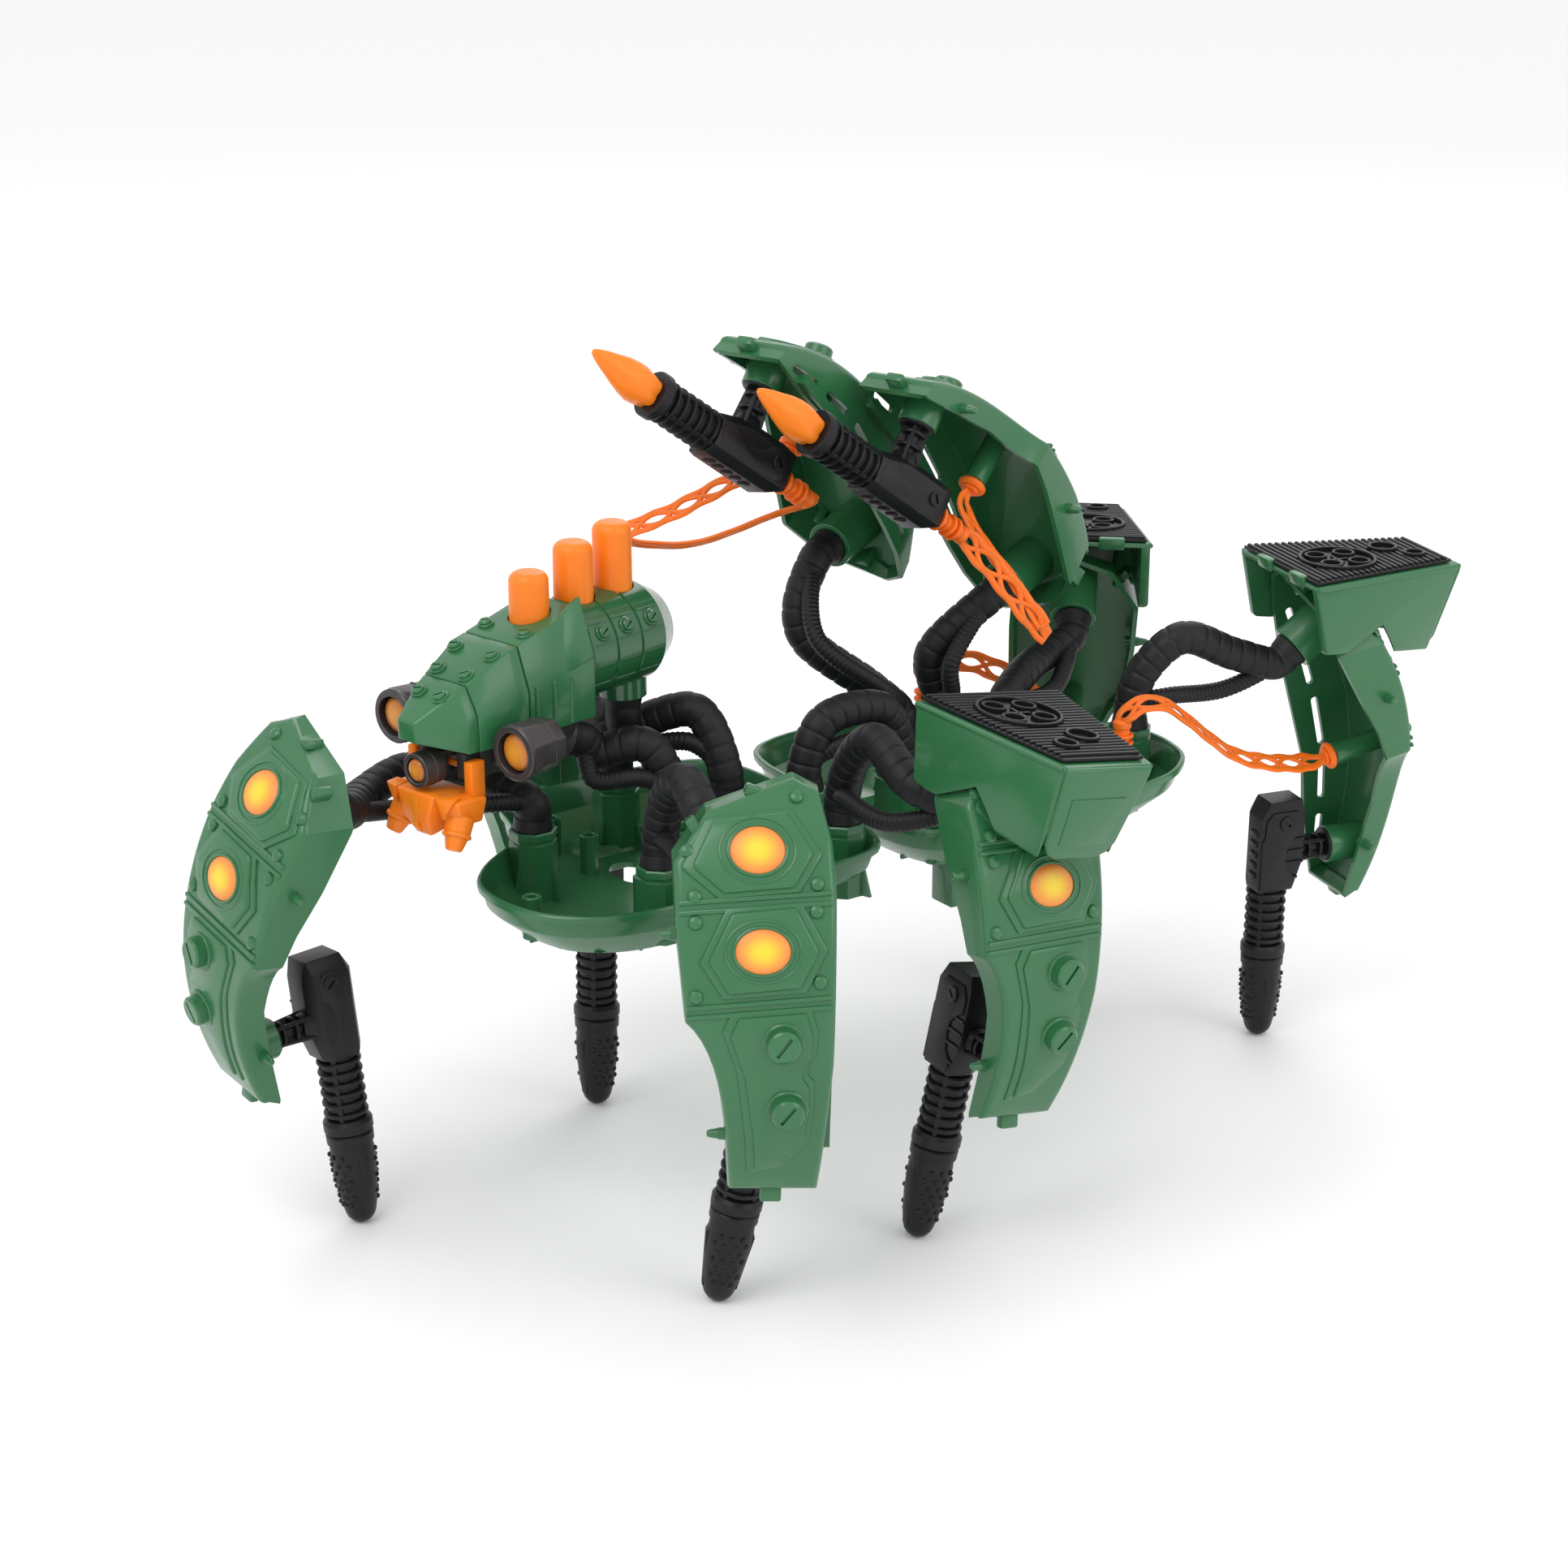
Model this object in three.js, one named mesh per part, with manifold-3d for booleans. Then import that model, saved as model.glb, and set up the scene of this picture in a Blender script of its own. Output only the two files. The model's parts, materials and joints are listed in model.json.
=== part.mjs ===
// Hexapod spider robot: a push-together toy of moulded shells, rubber hoses and plug-in legs.
// Two body pans stand end to end on six legs, carry two raised arms with cannons, and hold a head
// in front. Millimetres, +Z up, the head looks along -Y. Each leg, arm and the head is built in a
// frame of its own and placed by its group.
import * as THREE from "three";
import { ConvexGeometry } from "three/addons/geometries/ConvexGeometry.js";
import { mergeVertices } from "three/addons/utils/BufferGeometryUtils.js";
import Module from "manifold-3d";

const wasm = await Module();
wasm.setup();

// Driving dimensions
const WALL = 1.8; // moulded wall
const GAP = 0.35; // clearance between pieces that plug together
const HOSE_R = 6.2; // thick branch of a hose
const THIN_R = 3.4; // thin branch of a hose
const PLUG_R = 6.5; // hose plug
const PEG_R = 4.8; // side peg of a rod
const PAN = { middleY: 73, rimZ: 128, floorZ: 110 };
const POST = { x: 32, z: 30, r: 4.2, bore: 2.3 }; // strap post inside a shell
const TOWER_TOP = 135;
const SHELL = { arc: 108, arcX: -53, arcZ: 38, low: -28, high: 105 };
const ROD = { top: 23, block: -14, collar: -42, tip: -77, tipR: 5.5 };
const MOUTH = { x: 21, z: 78, rise: 26 }; // mouth of a shell's hose socket, and its slope in degrees
const SEAT = { x: -2.3, side: 6, z: 3.7, pitch: -12 }; // where a shell sits on its rod's peg

const deg = THREE.MathUtils.degToRad;
const v3 = (x, y, z) => new THREE.Vector3(x, y, z);
const X = v3(1, 0, 0);

// Materials
const plastic = (color, roughness) =>
  new THREE.MeshStandardMaterial({ color, roughness, metalness: 0 });
const GREEN = plastic(0x3f8a56, 0.35);
const DEEP_GREEN = plastic(0x2f7047, 0.3);
const BLACK = plastic(0x1d1d20, 0.55);
const RUBBER = plastic(0x26272a, 0.7);
const GUNMETAL = plastic(0x554f4f, 0.35);
const ORANGE = plastic(0xff8a24, 0.4);
const AMBER = plastic(0xd98a2c, 0.3);

// Solids: geometry to manifold-3d and back
function solid(geometry) {
  const bare = new THREE.BufferGeometry().setAttribute("position", geometry.getAttribute("position"));
  bare.setIndex(geometry.index);
  const merged = mergeVertices(bare, 1e-4);
  const vertProperties = merged.attributes.position.array;
  const corners = [];
  // Triangles with a repeated corner come from points on a turned piece's axis and are left out.
  for (let i = 0; i < merged.index.count; i += 3) {
    const [a, b, c] = merged.index.array.slice(i, i + 3);
    if (a !== b && b !== c && c !== a) corners.push(a, b, c);
  }
  const triVerts = new Uint32Array(corners);
  const made = new wasm.Manifold(new wasm.Mesh({ numProp: 3, vertProperties, triVerts }));
  if (made.volume() > 0) return made;
  // Inside out: every triangle is turned over.
  for (let i = 0; i < triVerts.length; i += 3)
    [triVerts[i + 1], triVerts[i + 2]] = [triVerts[i + 2], triVerts[i + 1]];
  return new wasm.Manifold(new wasm.Mesh({ numProp: 3, vertProperties, triVerts }));
}

function meshOf(name, body, material) {
  const { vertProperties, triVerts } = body.getMesh();
  const geometry = new THREE.BufferGeometry()
    .setAttribute("position", new THREE.BufferAttribute(new Float32Array(vertProperties), 3))
    .setIndex(new THREE.BufferAttribute(new Uint32Array(triVerts), 1));
  geometry.computeVertexNormals();
  const mesh = new THREE.Mesh(geometry, material);
  mesh.name = name;
  return mesh;
}

const join = (...parts) => parts.reduce((a, b) => a.add(b));
const cut = (body, ...tools) => tools.reduce((a, b) => a.subtract(b), body);

function block(x0, x1, y0, y1, z0, z1) {
  const g = new THREE.BoxGeometry(x1 - x0, y1 - y0, z1 - z0);
  return solid(g.translate((x0 + x1) / 2, (y0 + y1) / 2, (z0 + z1) / 2));
}

// A round or many-sided bar from a to b, with a radius at each end
function bar(a, b, ra, rb = ra, sides = 12) {
  const along = b.clone().sub(a);
  const g = new THREE.CylinderGeometry(rb, ra, along.length(), sides);
  g.applyQuaternion(new THREE.Quaternion().setFromUnitVectors(v3(0, 1, 0), along.normalize()));
  return solid(g.translate((a.x + b.x) / 2, (a.y + b.y) / 2, (a.z + b.z) / 2));
}

const hull = (points) => solid(new ConvexGeometry(points.map(([x, y, z]) => v3(x, y, z))));

// A turned piece: profile of [radius, height] pairs about +Z, closed on the axis or on itself
function turned(profile, sides = 16) {
  const closed = profile[0][0] > 0 ? [...profile, profile[0]] : profile;
  const points = closed.map(([r, h]) => new THREE.Vector2(r, h));
  return solid(new THREE.LatheGeometry(points, sides).rotateX(Math.PI / 2));
}

const outline = (points) => new THREE.Shape(points.map(([x, y]) => new THREE.Vector2(x, y)));
const slab = (shape, depth) =>
  new THREE.ExtrudeGeometry(shape, { depth, bevelEnabled: false, curveSegments: 3 });
const prismZ = (shape, z0, z1) => solid(slab(shape, z1 - z0).translate(0, 0, z0));
const prismY = (shape, width) => solid(slab(shape, width).translate(0, 0, -width / 2).rotateX(Math.PI / 2));
// Extrudes an outline drawn in (y, z) along x
function prismX(shape, x0, x1) {
  const basis = new THREE.Matrix4().makeBasis(v3(0, 1, 0), v3(0, 0, 1), v3(1, 0, 0));
  return solid(slab(shape, x1 - x0).translate(0, 0, x0).applyMatrix4(basis));
}

// A tube of round section along a curve
function tube(curve, r, steps, sides = 10) {
  const section = new THREE.Shape();
  for (let i = 0; i < sides; i++) {
    const a = (i / sides) * 2 * Math.PI;
    section[i ? "lineTo" : "moveTo"](r * Math.cos(a), r * Math.sin(a));
  }
  section.closePath();
  return solid(new THREE.ExtrudeGeometry(section, { steps, extrudePath: curve, bevelEnabled: false }));
}

// ---------------------------------------------------------------- leg shell
// Leg frame: origin where the rod's peg crosses the rod, +X out of the leg, +Z up, and the shell
// offset sideways. side is 1 for the left-hand mould and -1 for its mirror.
const FACE = [
  [-25, 80], [-15, 95], [12, 105], [20, 101], [24, 86], [25, 70], [25, 17], [22.5, -28], [-5.5, -28],
  [-7, -12],
];

// The shell seen from outside, in (y, z), drawn in by inset on every side
function faceOutline(inset, side) {
  const centre = 2;
  const pull = (y) => (y - centre) * (1 - inset / 24) + centre;
  const rise = (z) => (z > 80 ? z - inset : Math.max(z, SHELL.low + inset));
  const at = ([y, z]) => [pull(y) * side, rise(z)];
  const shape = new THREE.Shape();
  shape.moveTo(...at(FACE[0]));
  for (const point of FACE.slice(1)) shape.lineTo(...at(point));
  shape.quadraticCurveTo(...at([-10, 22]), ...at([-21, 31]));
  shape.lineTo(...at([-24, 58]));
  shape.closePath();
  return shape;
}

// Points along the shell's arc at radius r, from one height to another, in (x, z)
function arcPoints(r, low = SHELL.low, high = SHELL.high, steps = 6) {
  const angle = (z) => Math.asin((z - SHELL.arcZ) / r);
  return Array.from({ length: steps + 1 }, (_, i) => {
    const a = angle(low) + ((angle(high) - angle(low)) * i) / steps;
    return [SHELL.arcX + r * Math.cos(a), SHELL.arcZ + r * Math.sin(a)];
  });
}
const insideArc = (r, low = SHELL.low, high = SHELL.high) =>
  outline([[-30, low], ...arcPoints(r, low, high), [-30, high]]);
const RIM_LINE = [[27, SHELL.high], [28, 60], [31, 20], [27, -7], [26, SHELL.low]]; // open edge
const SHORT_RIM = [[27, 80], [35, 57], [41, 42], [44, 30], [41, 10], [34, -8], [25, SHELL.low - 1]]; // curved side
const arcX = (z, r = SHELL.arc) => SHELL.arcX + Math.sqrt(r * r - (z - SHELL.arcZ) ** 2);

const mouthPoint = () => v3(MOUTH.x, 0, MOUTH.z);
const mouthAxis = () => v3(Math.cos(deg(MOUTH.rise)), 0, Math.sin(deg(MOUTH.rise)));

// Places the shell's own frame in the frame of its rod: pitched, and set to one side of the peg
function seat(side) {
  return new THREE.Matrix4()
    .makeRotationY(deg(SEAT.pitch))
    .multiply(new THREE.Matrix4().makeTranslation(SEAT.x, -SEAT.side * side, SEAT.z));
}

function shellStud(side, y, z, r, lift) {
  const out = v3(arcX(z) - SHELL.arcX, 0, z - SHELL.arcZ).normalize();
  const foot = v3(arcX(z), y * side, z).addScaledVector(out, -1);
  return bar(foot, foot.clone().addScaledVector(out, lift + 1), r, r * 0.92, 7);
}

function legShell(name, side) {
  const profile = outline([...arcPoints(SHELL.arc), ...RIM_LINE]);
  const skin = prismX(faceOutline(0, side), -10, 70).intersect(prismY(profile, 70));
  const hollow = prismX(faceOutline(WALL, side), -10, 70).intersect(
    prismY(insideArc(SHELL.arc - WALL), 70),
  );
  const inside = prismY(insideArc(SHELL.arc - WALL / 2), 70);
  // On its curved side the wall is shallow: this is cut away there
  const beyond = prismY(outline([[-30, 80], ...SHORT_RIM, [-30, SHELL.low - 1]]), 70)
    .intersect(block(-40, 80, side > 0 ? -40 : 3, side > 0 ? -3 : 40, -60, 120));
  const fromRod = seat(side).invert();
  const peg = (x) => v3(x, 0, 0).applyMatrix4(fromRod);
  const pegSocket = bar(peg(24), peg(60), 7.2, 7.2, 8).intersect(inside);
  const pegBore = bar(peg(14), peg(43), PEG_R + GAP, PEG_R + GAP, 10);
  const out = mouthAxis();
  const along = (t) => mouthPoint().addScaledVector(out, t);
  const hoseSocket = bar(along(0), along(45), 8.8, 8.8, 8).intersect(inside);
  const hoseBore = bar(along(-3), along(13), PLUG_R + GAP, PLUG_R + GAP, 12);
  const pins = [[-22, 57], [-6, -8]].map(([y, z]) =>
    bar(v3(arcX(z) - 8, (y + 2) * side, z), v3(arcX(z) - 8, (y - 6) * side, z), 1.7, 1.5, 6),
  );
  const studs = [
    shellStud(side, 0.5, 83, 8.7, 2.6), shellStud(side, 2, 54, 8.7, 2.6),
    shellStud(side, 9, 25, 5.4, 6), shellStud(side, 11, 5, 5.4, 6),
  ];
  const post = (r, from, to) => bar(v3(from, 0, POST.z), v3(to, 0, POST.z), r, r, 8);
  const strapPost = post(POST.r, POST.x, 60).intersect(inside);
  const body = cut(
    join(cut(skin, hollow, beyond), pegSocket, hoseSocket, strapPost, ...pins, ...studs),
    pegBore, hoseBore, post(POST.bore, POST.x - 2, POST.x + 10),
  );
  const mesh = meshOf(name, body, GREEN);
  mesh.applyMatrix4(seat(side));
  return mesh;
}

// ---------------------------------------------------------------- hip cap
// A tapering cuff over the top of a shell, open inwards and below, with a black tread plate on top.
// Both are made in the shell's frame.
const CAP = { innerX: 20, outerX: 88, innerY: 29, outerY: 17, top: 111, slope: 0.22 };
const capTop = (x) => CAP.top - (x - CAP.innerX) * CAP.slope;

function cuff(inset, open) {
  const top = [[CAP.innerX - open, CAP.innerY - inset], [CAP.outerX - inset, CAP.outerY - inset]];
  const bottom = [[CAP.innerX - open, CAP.innerY - inset, 84 - open], [71 - inset, 14 - inset, 65 - open]];
  const corners = [];
  for (const [x, y] of top) corners.push([x, y, capTop(x) - inset], [x, -y, capTop(x) - inset]);
  for (const [x, y, z] of bottom) corners.push([x, y, z], [x, -y, z]);
  return hull(corners);
}

function hipCap(name, side) {
  const room = prismX(faceOutline(-1.2, side), -20, 80).intersect(
    prismY(insideArc(SHELL.arc + 3.8, -30, SHELL.high + 1), 90),
  );
  const parts = cut(cuff(0, 0), cuff(WALL, 12), room).decompose();
  const largest = parts.sort((a, b) => b.volume() - a.volume())[0];
  const mesh = meshOf(name, largest, GREEN);
  mesh.applyMatrix4(seat(side));
  return mesh;
}

function treadPlate(name, side) {
  const length = CAP.outerX - CAP.innerX - 4;
  const [wide, narrow] = [CAP.innerY - 1.5, CAP.outerY - 1.5];
  const plate = prismZ(outline([[0, -wide], [length, -narrow], [length, narrow], [0, wide]]), 0, 1.6);
  const ribs = [4, 36, 58].map((x) => {
    const half = CAP.innerY - 3 - (x / length) * (CAP.innerY - CAP.outerY);
    return block(x, x + 2.4, -half, half, 1.4, 2.4);
  });
  const rings = [[22, -6, 11], [50, 7, 5]].map(([x, y, r]) =>
    cut(
      bar(v3(x, y, 1), v3(x, y, 3.2), r, r, 8),
      bar(v3(x, y, 1.8), v3(x, y, 5), r - 1.6, r - 1.6, 8),
    ),
  );
  const mesh = meshOf(name, join(plate, ...ribs, ...rings), BLACK);
  mesh.rotation.y = Math.atan(CAP.slope);
  mesh.position.set(CAP.innerX + 1, 0, capTop(CAP.innerX + 1) + GAP);
  mesh.updateMatrix();
  mesh.applyMatrix4(seat(side));
  return mesh;
}

// ---------------------------------------------------------------- rod, boot and flame
// The grip-shaped rod of a leg or a cannon: block, ribbed barrel, collar and side peg.
// Origin where the peg's axis crosses the rod, peg along +X, muzzle end down.
const GRIP = [[-7.8, -7], [7.8, -7], [7.8, 3], [5, 7], [-5, 7], [-7.8, 3]];
const GRIP_WIDE = [[-7.8, -7], [11, -7], [11, 3], [7.5, 7], [-5, 7], [-7.8, 3]]; // from z -2 up

function gripRod(name) {
  const shoulder = ROD.top - 6.5;
  const body = hull([
    ...GRIP.map(([x, y]) => [x, y, ROD.block]),
    ...GRIP_WIDE.map(([x, y]) => [x, y, -2]),
    ...GRIP_WIDE.map(([x, y]) => [x, y, shoulder]),
    [-4, -7, ROD.top], [9.5, -7, ROD.top], [9.5, 4, ROD.top], [-4, 4, ROD.top],
  ]);
  const ring = (r, z0, z1) => bar(v3(0, 0, z0), v3(0, 0, z1), r, r, 8);
  const barrel = ring(6.8, ROD.collar + 0.5, ROD.block + 1);
  const rib = ring(8, -30, -20);
  const collar = ring(8.6, ROD.collar, ROD.collar + 5);
  const peg = bar(v3(5, 0, 0), v3(41, 0, 0), PEG_R, PEG_R, 10);
  const root = bar(v3(6, 0, 0), v3(15, 0, 0), 6.6, PEG_R, 8);
  const socket = ring(4.4, ROD.collar - 1, ROD.collar + 9);
  const strapHole = ring(3.5, ROD.top - 8, ROD.top + 2);
  return meshOf(name, cut(join(body, barrel, rib, collar, peg, root), socket, strapHole), BLACK);
}

const plugUp = () => bar(v3(0, 0, ROD.collar - 2), v3(0, 0, ROD.collar + 7), 4, 4, 6);

// The studded boot plugged into a leg rod's collar
function boot(name) {
  const centre = ROD.tip + ROD.tipR;
  const top = ROD.collar - GAP;
  const rounded = [0, 1, 2, 3].map((i) => [
    ROD.tipR * Math.sin((i / 3) * (Math.PI / 2)), centre - ROD.tipR * Math.cos((i / 3) * (Math.PI / 2)),
  ]);
  const sole = turned([...rounded, [8, -60], [8.4, -52], [7.6, top], [0, top]], 10);
  return meshOf(name, join(sole, plugUp()), BLACK);
}

// The flame plugged into a cannon's muzzle
function flame(name) {
  const top = ROD.collar - GAP;
  const body = turned([[0, -70], [1.6, -68], [4.4, -60], [6.9, -50], [5.8, top], [0, top]], 8);
  return meshOf(name, join(body, plugUp()), ORANGE);
}

// ---------------------------------------------------------------- legs and arms
// tip: where the boot stands. azimuth: which way the leg faces, from +X. lean: top outwards.
// roll: turn of the leg about its peg. rodTurn: further turn of the rod alone.
const LEGS = [
  { name: "front", tip: [-23, -176], azimuth: -86, lean: 3, roll: -6, rodTurn: 11, side: -1 },
  { name: "front_left", tip: [-56, -59], azimuth: 184, lean: 4, roll: 0, rodTurn: 4, side: -1 },
  { name: "front_right", tip: [94.5, -105], azimuth: -31, lean: 1, roll: -2, rodTurn: -9, side: 1 },
  { name: "mid_right", tip: [97, -24], azimuth: -5, lean: 2, roll: -8, rodTurn: -3, side: 1, capped: true },
  { name: "rear", tip: [40, 187], azimuth: 76, lean: 0, roll: 0, rodTurn: 1, side: 1, capped: true },
  { name: "rear_left", tip: [-27, 134], azimuth: 138, lean: 3, roll: 0, rodTurn: 0, side: 1, capped: true },
];
const ARM = { azimuth: 110, rise: 52, cannonTurn: -17.5 };
const ARMS = [
  { name: "left", pivot: [-21.5, -18, 252], side: 1 },
  { name: "right", pivot: [4, 31.3, 237], side: -1 },
];

function legGroup(leg) {
  const group = new THREE.Group();
  group.rotation.set(deg(leg.roll), deg(leg.lean), deg(leg.azimuth), "ZYX");
  const rod = new THREE.Group();
  rod.rotation.x = deg(leg.rodTurn);
  rod.add(gripRod("grip_rod_" + leg.name), boot("boot_" + leg.name));
  group.add(rod, legShell("leg_shell_" + leg.name, leg.side));
  if (leg.capped)
    group.add(hipCap("hip_cap_" + leg.name, leg.side), treadPlate("tread_plate_" + leg.name, leg.side));
  // The middle of the boot's round tip stands above leg.tip, at the height of its radius.
  const toe = v3(0, 0, ROD.tip + ROD.tipR).applyQuaternion(rod.quaternion).applyQuaternion(group.quaternion);
  group.position.set(leg.tip[0] - toe.x, leg.tip[1] - toe.y, ROD.tipR - toe.z);
  group.updateMatrixWorld(true);
  return group;
}

function armGroup(arm) {
  const group = new THREE.Group();
  group.rotation.set(Math.PI, deg(-ARM.rise), deg(ARM.azimuth), "ZYX");
  group.position.set(...arm.pivot);
  const cannon = new THREE.Group();
  cannon.rotation.x = deg(ARM.cannonTurn);
  cannon.add(gripRod("cannon_" + arm.name), flame("flame_" + arm.name));
  group.add(cannon, legShell("arm_shell_" + arm.name, arm.side));
  group.updateMatrixWorld(true);
  return group;
}

// ---------------------------------------------------------------- body pans
const TOWERS = {
  front: [-11.7, -109.4], front_left: [-37.8, -59.5], front_right: [41.9, -92.1],
  mid_right: [43.3, -18.6], link_front: [9.3, -10.5], neck_front: [5.1, -62.6], neck_rear: [0.4, -37.8],
  link_rear: [7.9, 31.9], arm_left: [-17.2, 51.9], arm_right: [-18.9, 73.8],
  rear_left: [-6.3, 91.9], rear: [23.5, 128.5],
};
// The front pan's rim in plan, with a notch at the front left; the rear pan is its mirror.
const RIM = [
  [-34, -2], [34, -2], [56, -9], [61, -30], [62, -100], [58, -122], [45, -139], [25, -145], [6, -143],
  [-8, -131], [-20, -112], [-34, -105], [-54, -100], [-61, -84], [-61, -30], [-54, -9],
];

// A closed skin through one outline at several levels, each [height, scale about the pan's middle]
function loft(points, levels) {
  const middle = new THREE.Vector2(2, Math.sign(points[0][1]) * PAN.middleY);
  const flat = points.map(([x, y]) => new THREE.Vector2(x, y));
  if (THREE.ShapeUtils.isClockWise(flat)) flat.reverse();
  const position = [];
  for (const [z, scale] of levels)
    for (const p of flat) position.push(...p.clone().sub(middle).multiplyScalar(scale).add(middle), z);
  const n = flat.length;
  const index = [];
  for (let level = 0; level < levels.length - 1; level++)
    for (let i = 0; i < n; i++) {
      const [a, b] = [level * n + i, level * n + ((i + 1) % n)];
      index.push(a, b, b + n, a, b + n, a + n);
    }
  const cap = THREE.ShapeUtils.triangulateShape(flat, []);
  const last = (levels.length - 1) * n;
  for (const [a, b, c] of cap) index.push(c, b, a, last + a, last + b, last + c);
  const geometry = new THREE.BufferGeometry().setIndex(index);
  return solid(geometry.setAttribute("position", new THREE.Float32BufferAttribute(position, 3)));
}

function pan(name, end, towers, bosses, strapHoles) {
  const rim = RIM.map(([x, y]) => [x, y * -end]);
  const wall = (scale) => 1 - WALL / 62 - scale;
  const shell = loft(rim, [[PAN.floorZ - WALL, 0.76], [PAN.rimZ - 9, 0.96], [PAN.rimZ, 1]]).subtract(
    loft(rim, [[PAN.floorZ, wall(0.24)], [PAN.rimZ - 9, wall(0.04)], [PAN.rimZ + 3, wall(-0.01)]]),
  );
  const post = (x, y, r, low, high, sides) => bar(v3(x, y, low), v3(x, y, high), r, r, sides);
  const floor = PAN.floorZ - 1;
  const added = [
    ...towers.map((key) => post(...TOWERS[key], 8.6, floor, TOWER_TOP, 8)),
    ...bosses.map(([x, y]) => post(x, y, 3.3, floor, 124, 6)),
    ...strapHoles.map(([x, y]) => post(x, y, 4.6, floor, TOWER_TOP - 6, 8)),
    block(-22, -10, end * 95 - 6, end * 95 + 6, 88, floor),
    block(26, 38, end * 40 - 6, end * 40 + 6, 88, floor),
  ];
  const bores = [
    ...towers.map((key) => post(...TOWERS[key], PLUG_R + GAP, 114, TOWER_TOP + 2, 12)),
    ...bosses.map(([x, y]) => post(x, y, 1.6, 112, 126, 6)),
    ...strapHoles.map(([x, y]) => post(x, y, 3.1, 118, TOWER_TOP, 8)),
  ];
  return meshOf(name, cut(join(shell, ...added), ...bores), GREEN);
}

// ---------------------------------------------------------------- hoses
// A hose has a plug at each end, a thick branch and a thin branch between them.
// ends: two { at, into } with into the way the plug goes in. via and thin: points on the way.
function hose(name, ends, via, thin) {
  const [first, last] = ends;
  const plug = ({ at, into }) =>
    bar(at.clone().addScaledVector(into, -1.5), at.clone().addScaledVector(into, 12), PLUG_R, PLUG_R, 10);
  const point = ([x, y, z]) => v3(x, y, z);
  const stem = ({ at, into }, t) => at.clone().addScaledVector(into, t);
  const branch = (r, middle, reach, steps, sides) => {
    const start = [reach, -2, -8].map((t) => stem(first, t));
    const finish = [-8, -2, reach].map((t) => stem(last, t));
    const points = [...start, ...middle.map(point), ...finish];
    return tube(new THREE.CatmullRomCurve3(points), r, steps, sides);
  };
  const thick = branch(HOSE_R, via, 2, 6 + 3 * via.length, 6);
  const slim = branch(THIN_R, thin, 1.3, 6 + 2 * thin.length, 4);
  return meshOf(name, join(thick, slim, plug(first), plug(last)), RUBBER);
}

const inTower = (key) => ({ at: v3(...TOWERS[key], TOWER_TOP), into: v3(0, 0, -1) });

// Where a hose plugs into a placed shell
function inShell(group, side) {
  const toWorld = group.matrixWorld.clone().multiply(seat(side));
  const at = mouthPoint().applyMatrix4(toWorld);
  return { at, into: mouthAxis().transformDirection(toWorld) };
}

// ---------------------------------------------------------------- straps
// A ribbed plug at one end, a lattice band, and a disc with a peg at the other end
function strap(name, plugEnd, discEnd, via) {
  const stem = ({ at, into }, t) => at.clone().addScaledVector(into, t);
  const along = (end, from, to, r, sides) => bar(stem(end, from), stem(end, to), r, r, sides);
  const plug = [
    along(plugEnd, -12, 7, 2.9, 6),
    along(plugEnd, -3, -0.5, 4.6, 6),
    along(plugEnd, -9, -6.5, 4.4, 6),
  ];
  const disc = [along(discEnd, -3.2, -0.4, 5.2, 8), along(discEnd, -2, 7, 1.9, 6)];
  const points = [
    stem(plugEnd, -10), stem(plugEnd, -16), ...via.map(([x, y, z]) => v3(x, y, z)),
    stem(discEnd, -9), stem(discEnd, -2),
  ];
  const section = outline([[-0.8, -4.6], [0.8, -4.6], [0.8, 4.6], [-0.8, 4.6]]);
  const way = { steps: 2 * points.length, extrudePath: new THREE.CatmullRomCurve3(points) };
  const band = solid(new THREE.ExtrudeGeometry(section, { ...way, bevelEnabled: false }));
  return meshOf(name, join(band, ...plug, ...disc), ORANGE);
}

// The strap post inside a placed shell, and the plug hole in the rear of a placed cannon
function inPost(group, side) {
  const toWorld = group.matrixWorld.clone().multiply(seat(side));
  return { at: v3(POST.x, 0, POST.z).applyMatrix4(toWorld), into: X.clone().transformDirection(toWorld) };
}
function inCannon(group) {
  const toWorld = group.children[0].matrixWorld;
  return { at: v3(0, 0, ROD.top).applyMatrix4(toWorld), into: v3(0, 0, -1).transformDirection(toWorld) };
}

// ---------------------------------------------------------------- head
// Head frame: origin between the eyes, -Y forwards, +Z up.
const HEAD = { at: [-4.5, -136.5, 184], turn: 14 };
const COWL_SECTIONS = [
  [-28, [[4, -3], [4, 4]]],
  [-14, [[15, -8], [14, 3], [9, 12]]],
  [6, [[17.5, -8], [17.5, 7], [12.5, 21.5]]],
  [41, [[18.5, -8], [18.5, 12], [12, 30]]],
];
const TAIL = { from: 41.4, shoulder: 77, to: 86, r: 18, z: 11, socket: 73 };
const PLUNGERS = [
  { name: "front", y: 29, base: 8, top: 42 }, { name: "middle", y: 50, base: 8, top: 48 },
  { name: "rear", y: 69, base: 8, top: 51 },
];
const PLUNGER_R = 7;

// The cowl's outside, or with inset and drop its inside, which runs out below and behind by drop
function cowlHull(inset, drop) {
  const points = [];
  for (const [y, section] of COWL_SECTIONS)
    for (const [x, z] of section) {
      const level = z < 0 && drop ? z - drop : z - Math.sign(z) * inset;
      const station = y + (y < 0 ? inset : drop);
      points.push([x - inset, station, level], [inset - x, station, level]);
    }
  return hull(points);
}

function plungerBore({ y, base }) {
  const r = PLUNGER_R + GAP;
  return bar(v3(0, y, base - 5), v3(0, y, 60), r, r, 14);
}

function cowl() {
  const body = cut(cowlHull(0, 0), cowlHull(WALL, 3), plungerBore(PLUNGERS[0]));
  return meshOf("head_cowl", body, GREEN);
}

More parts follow.
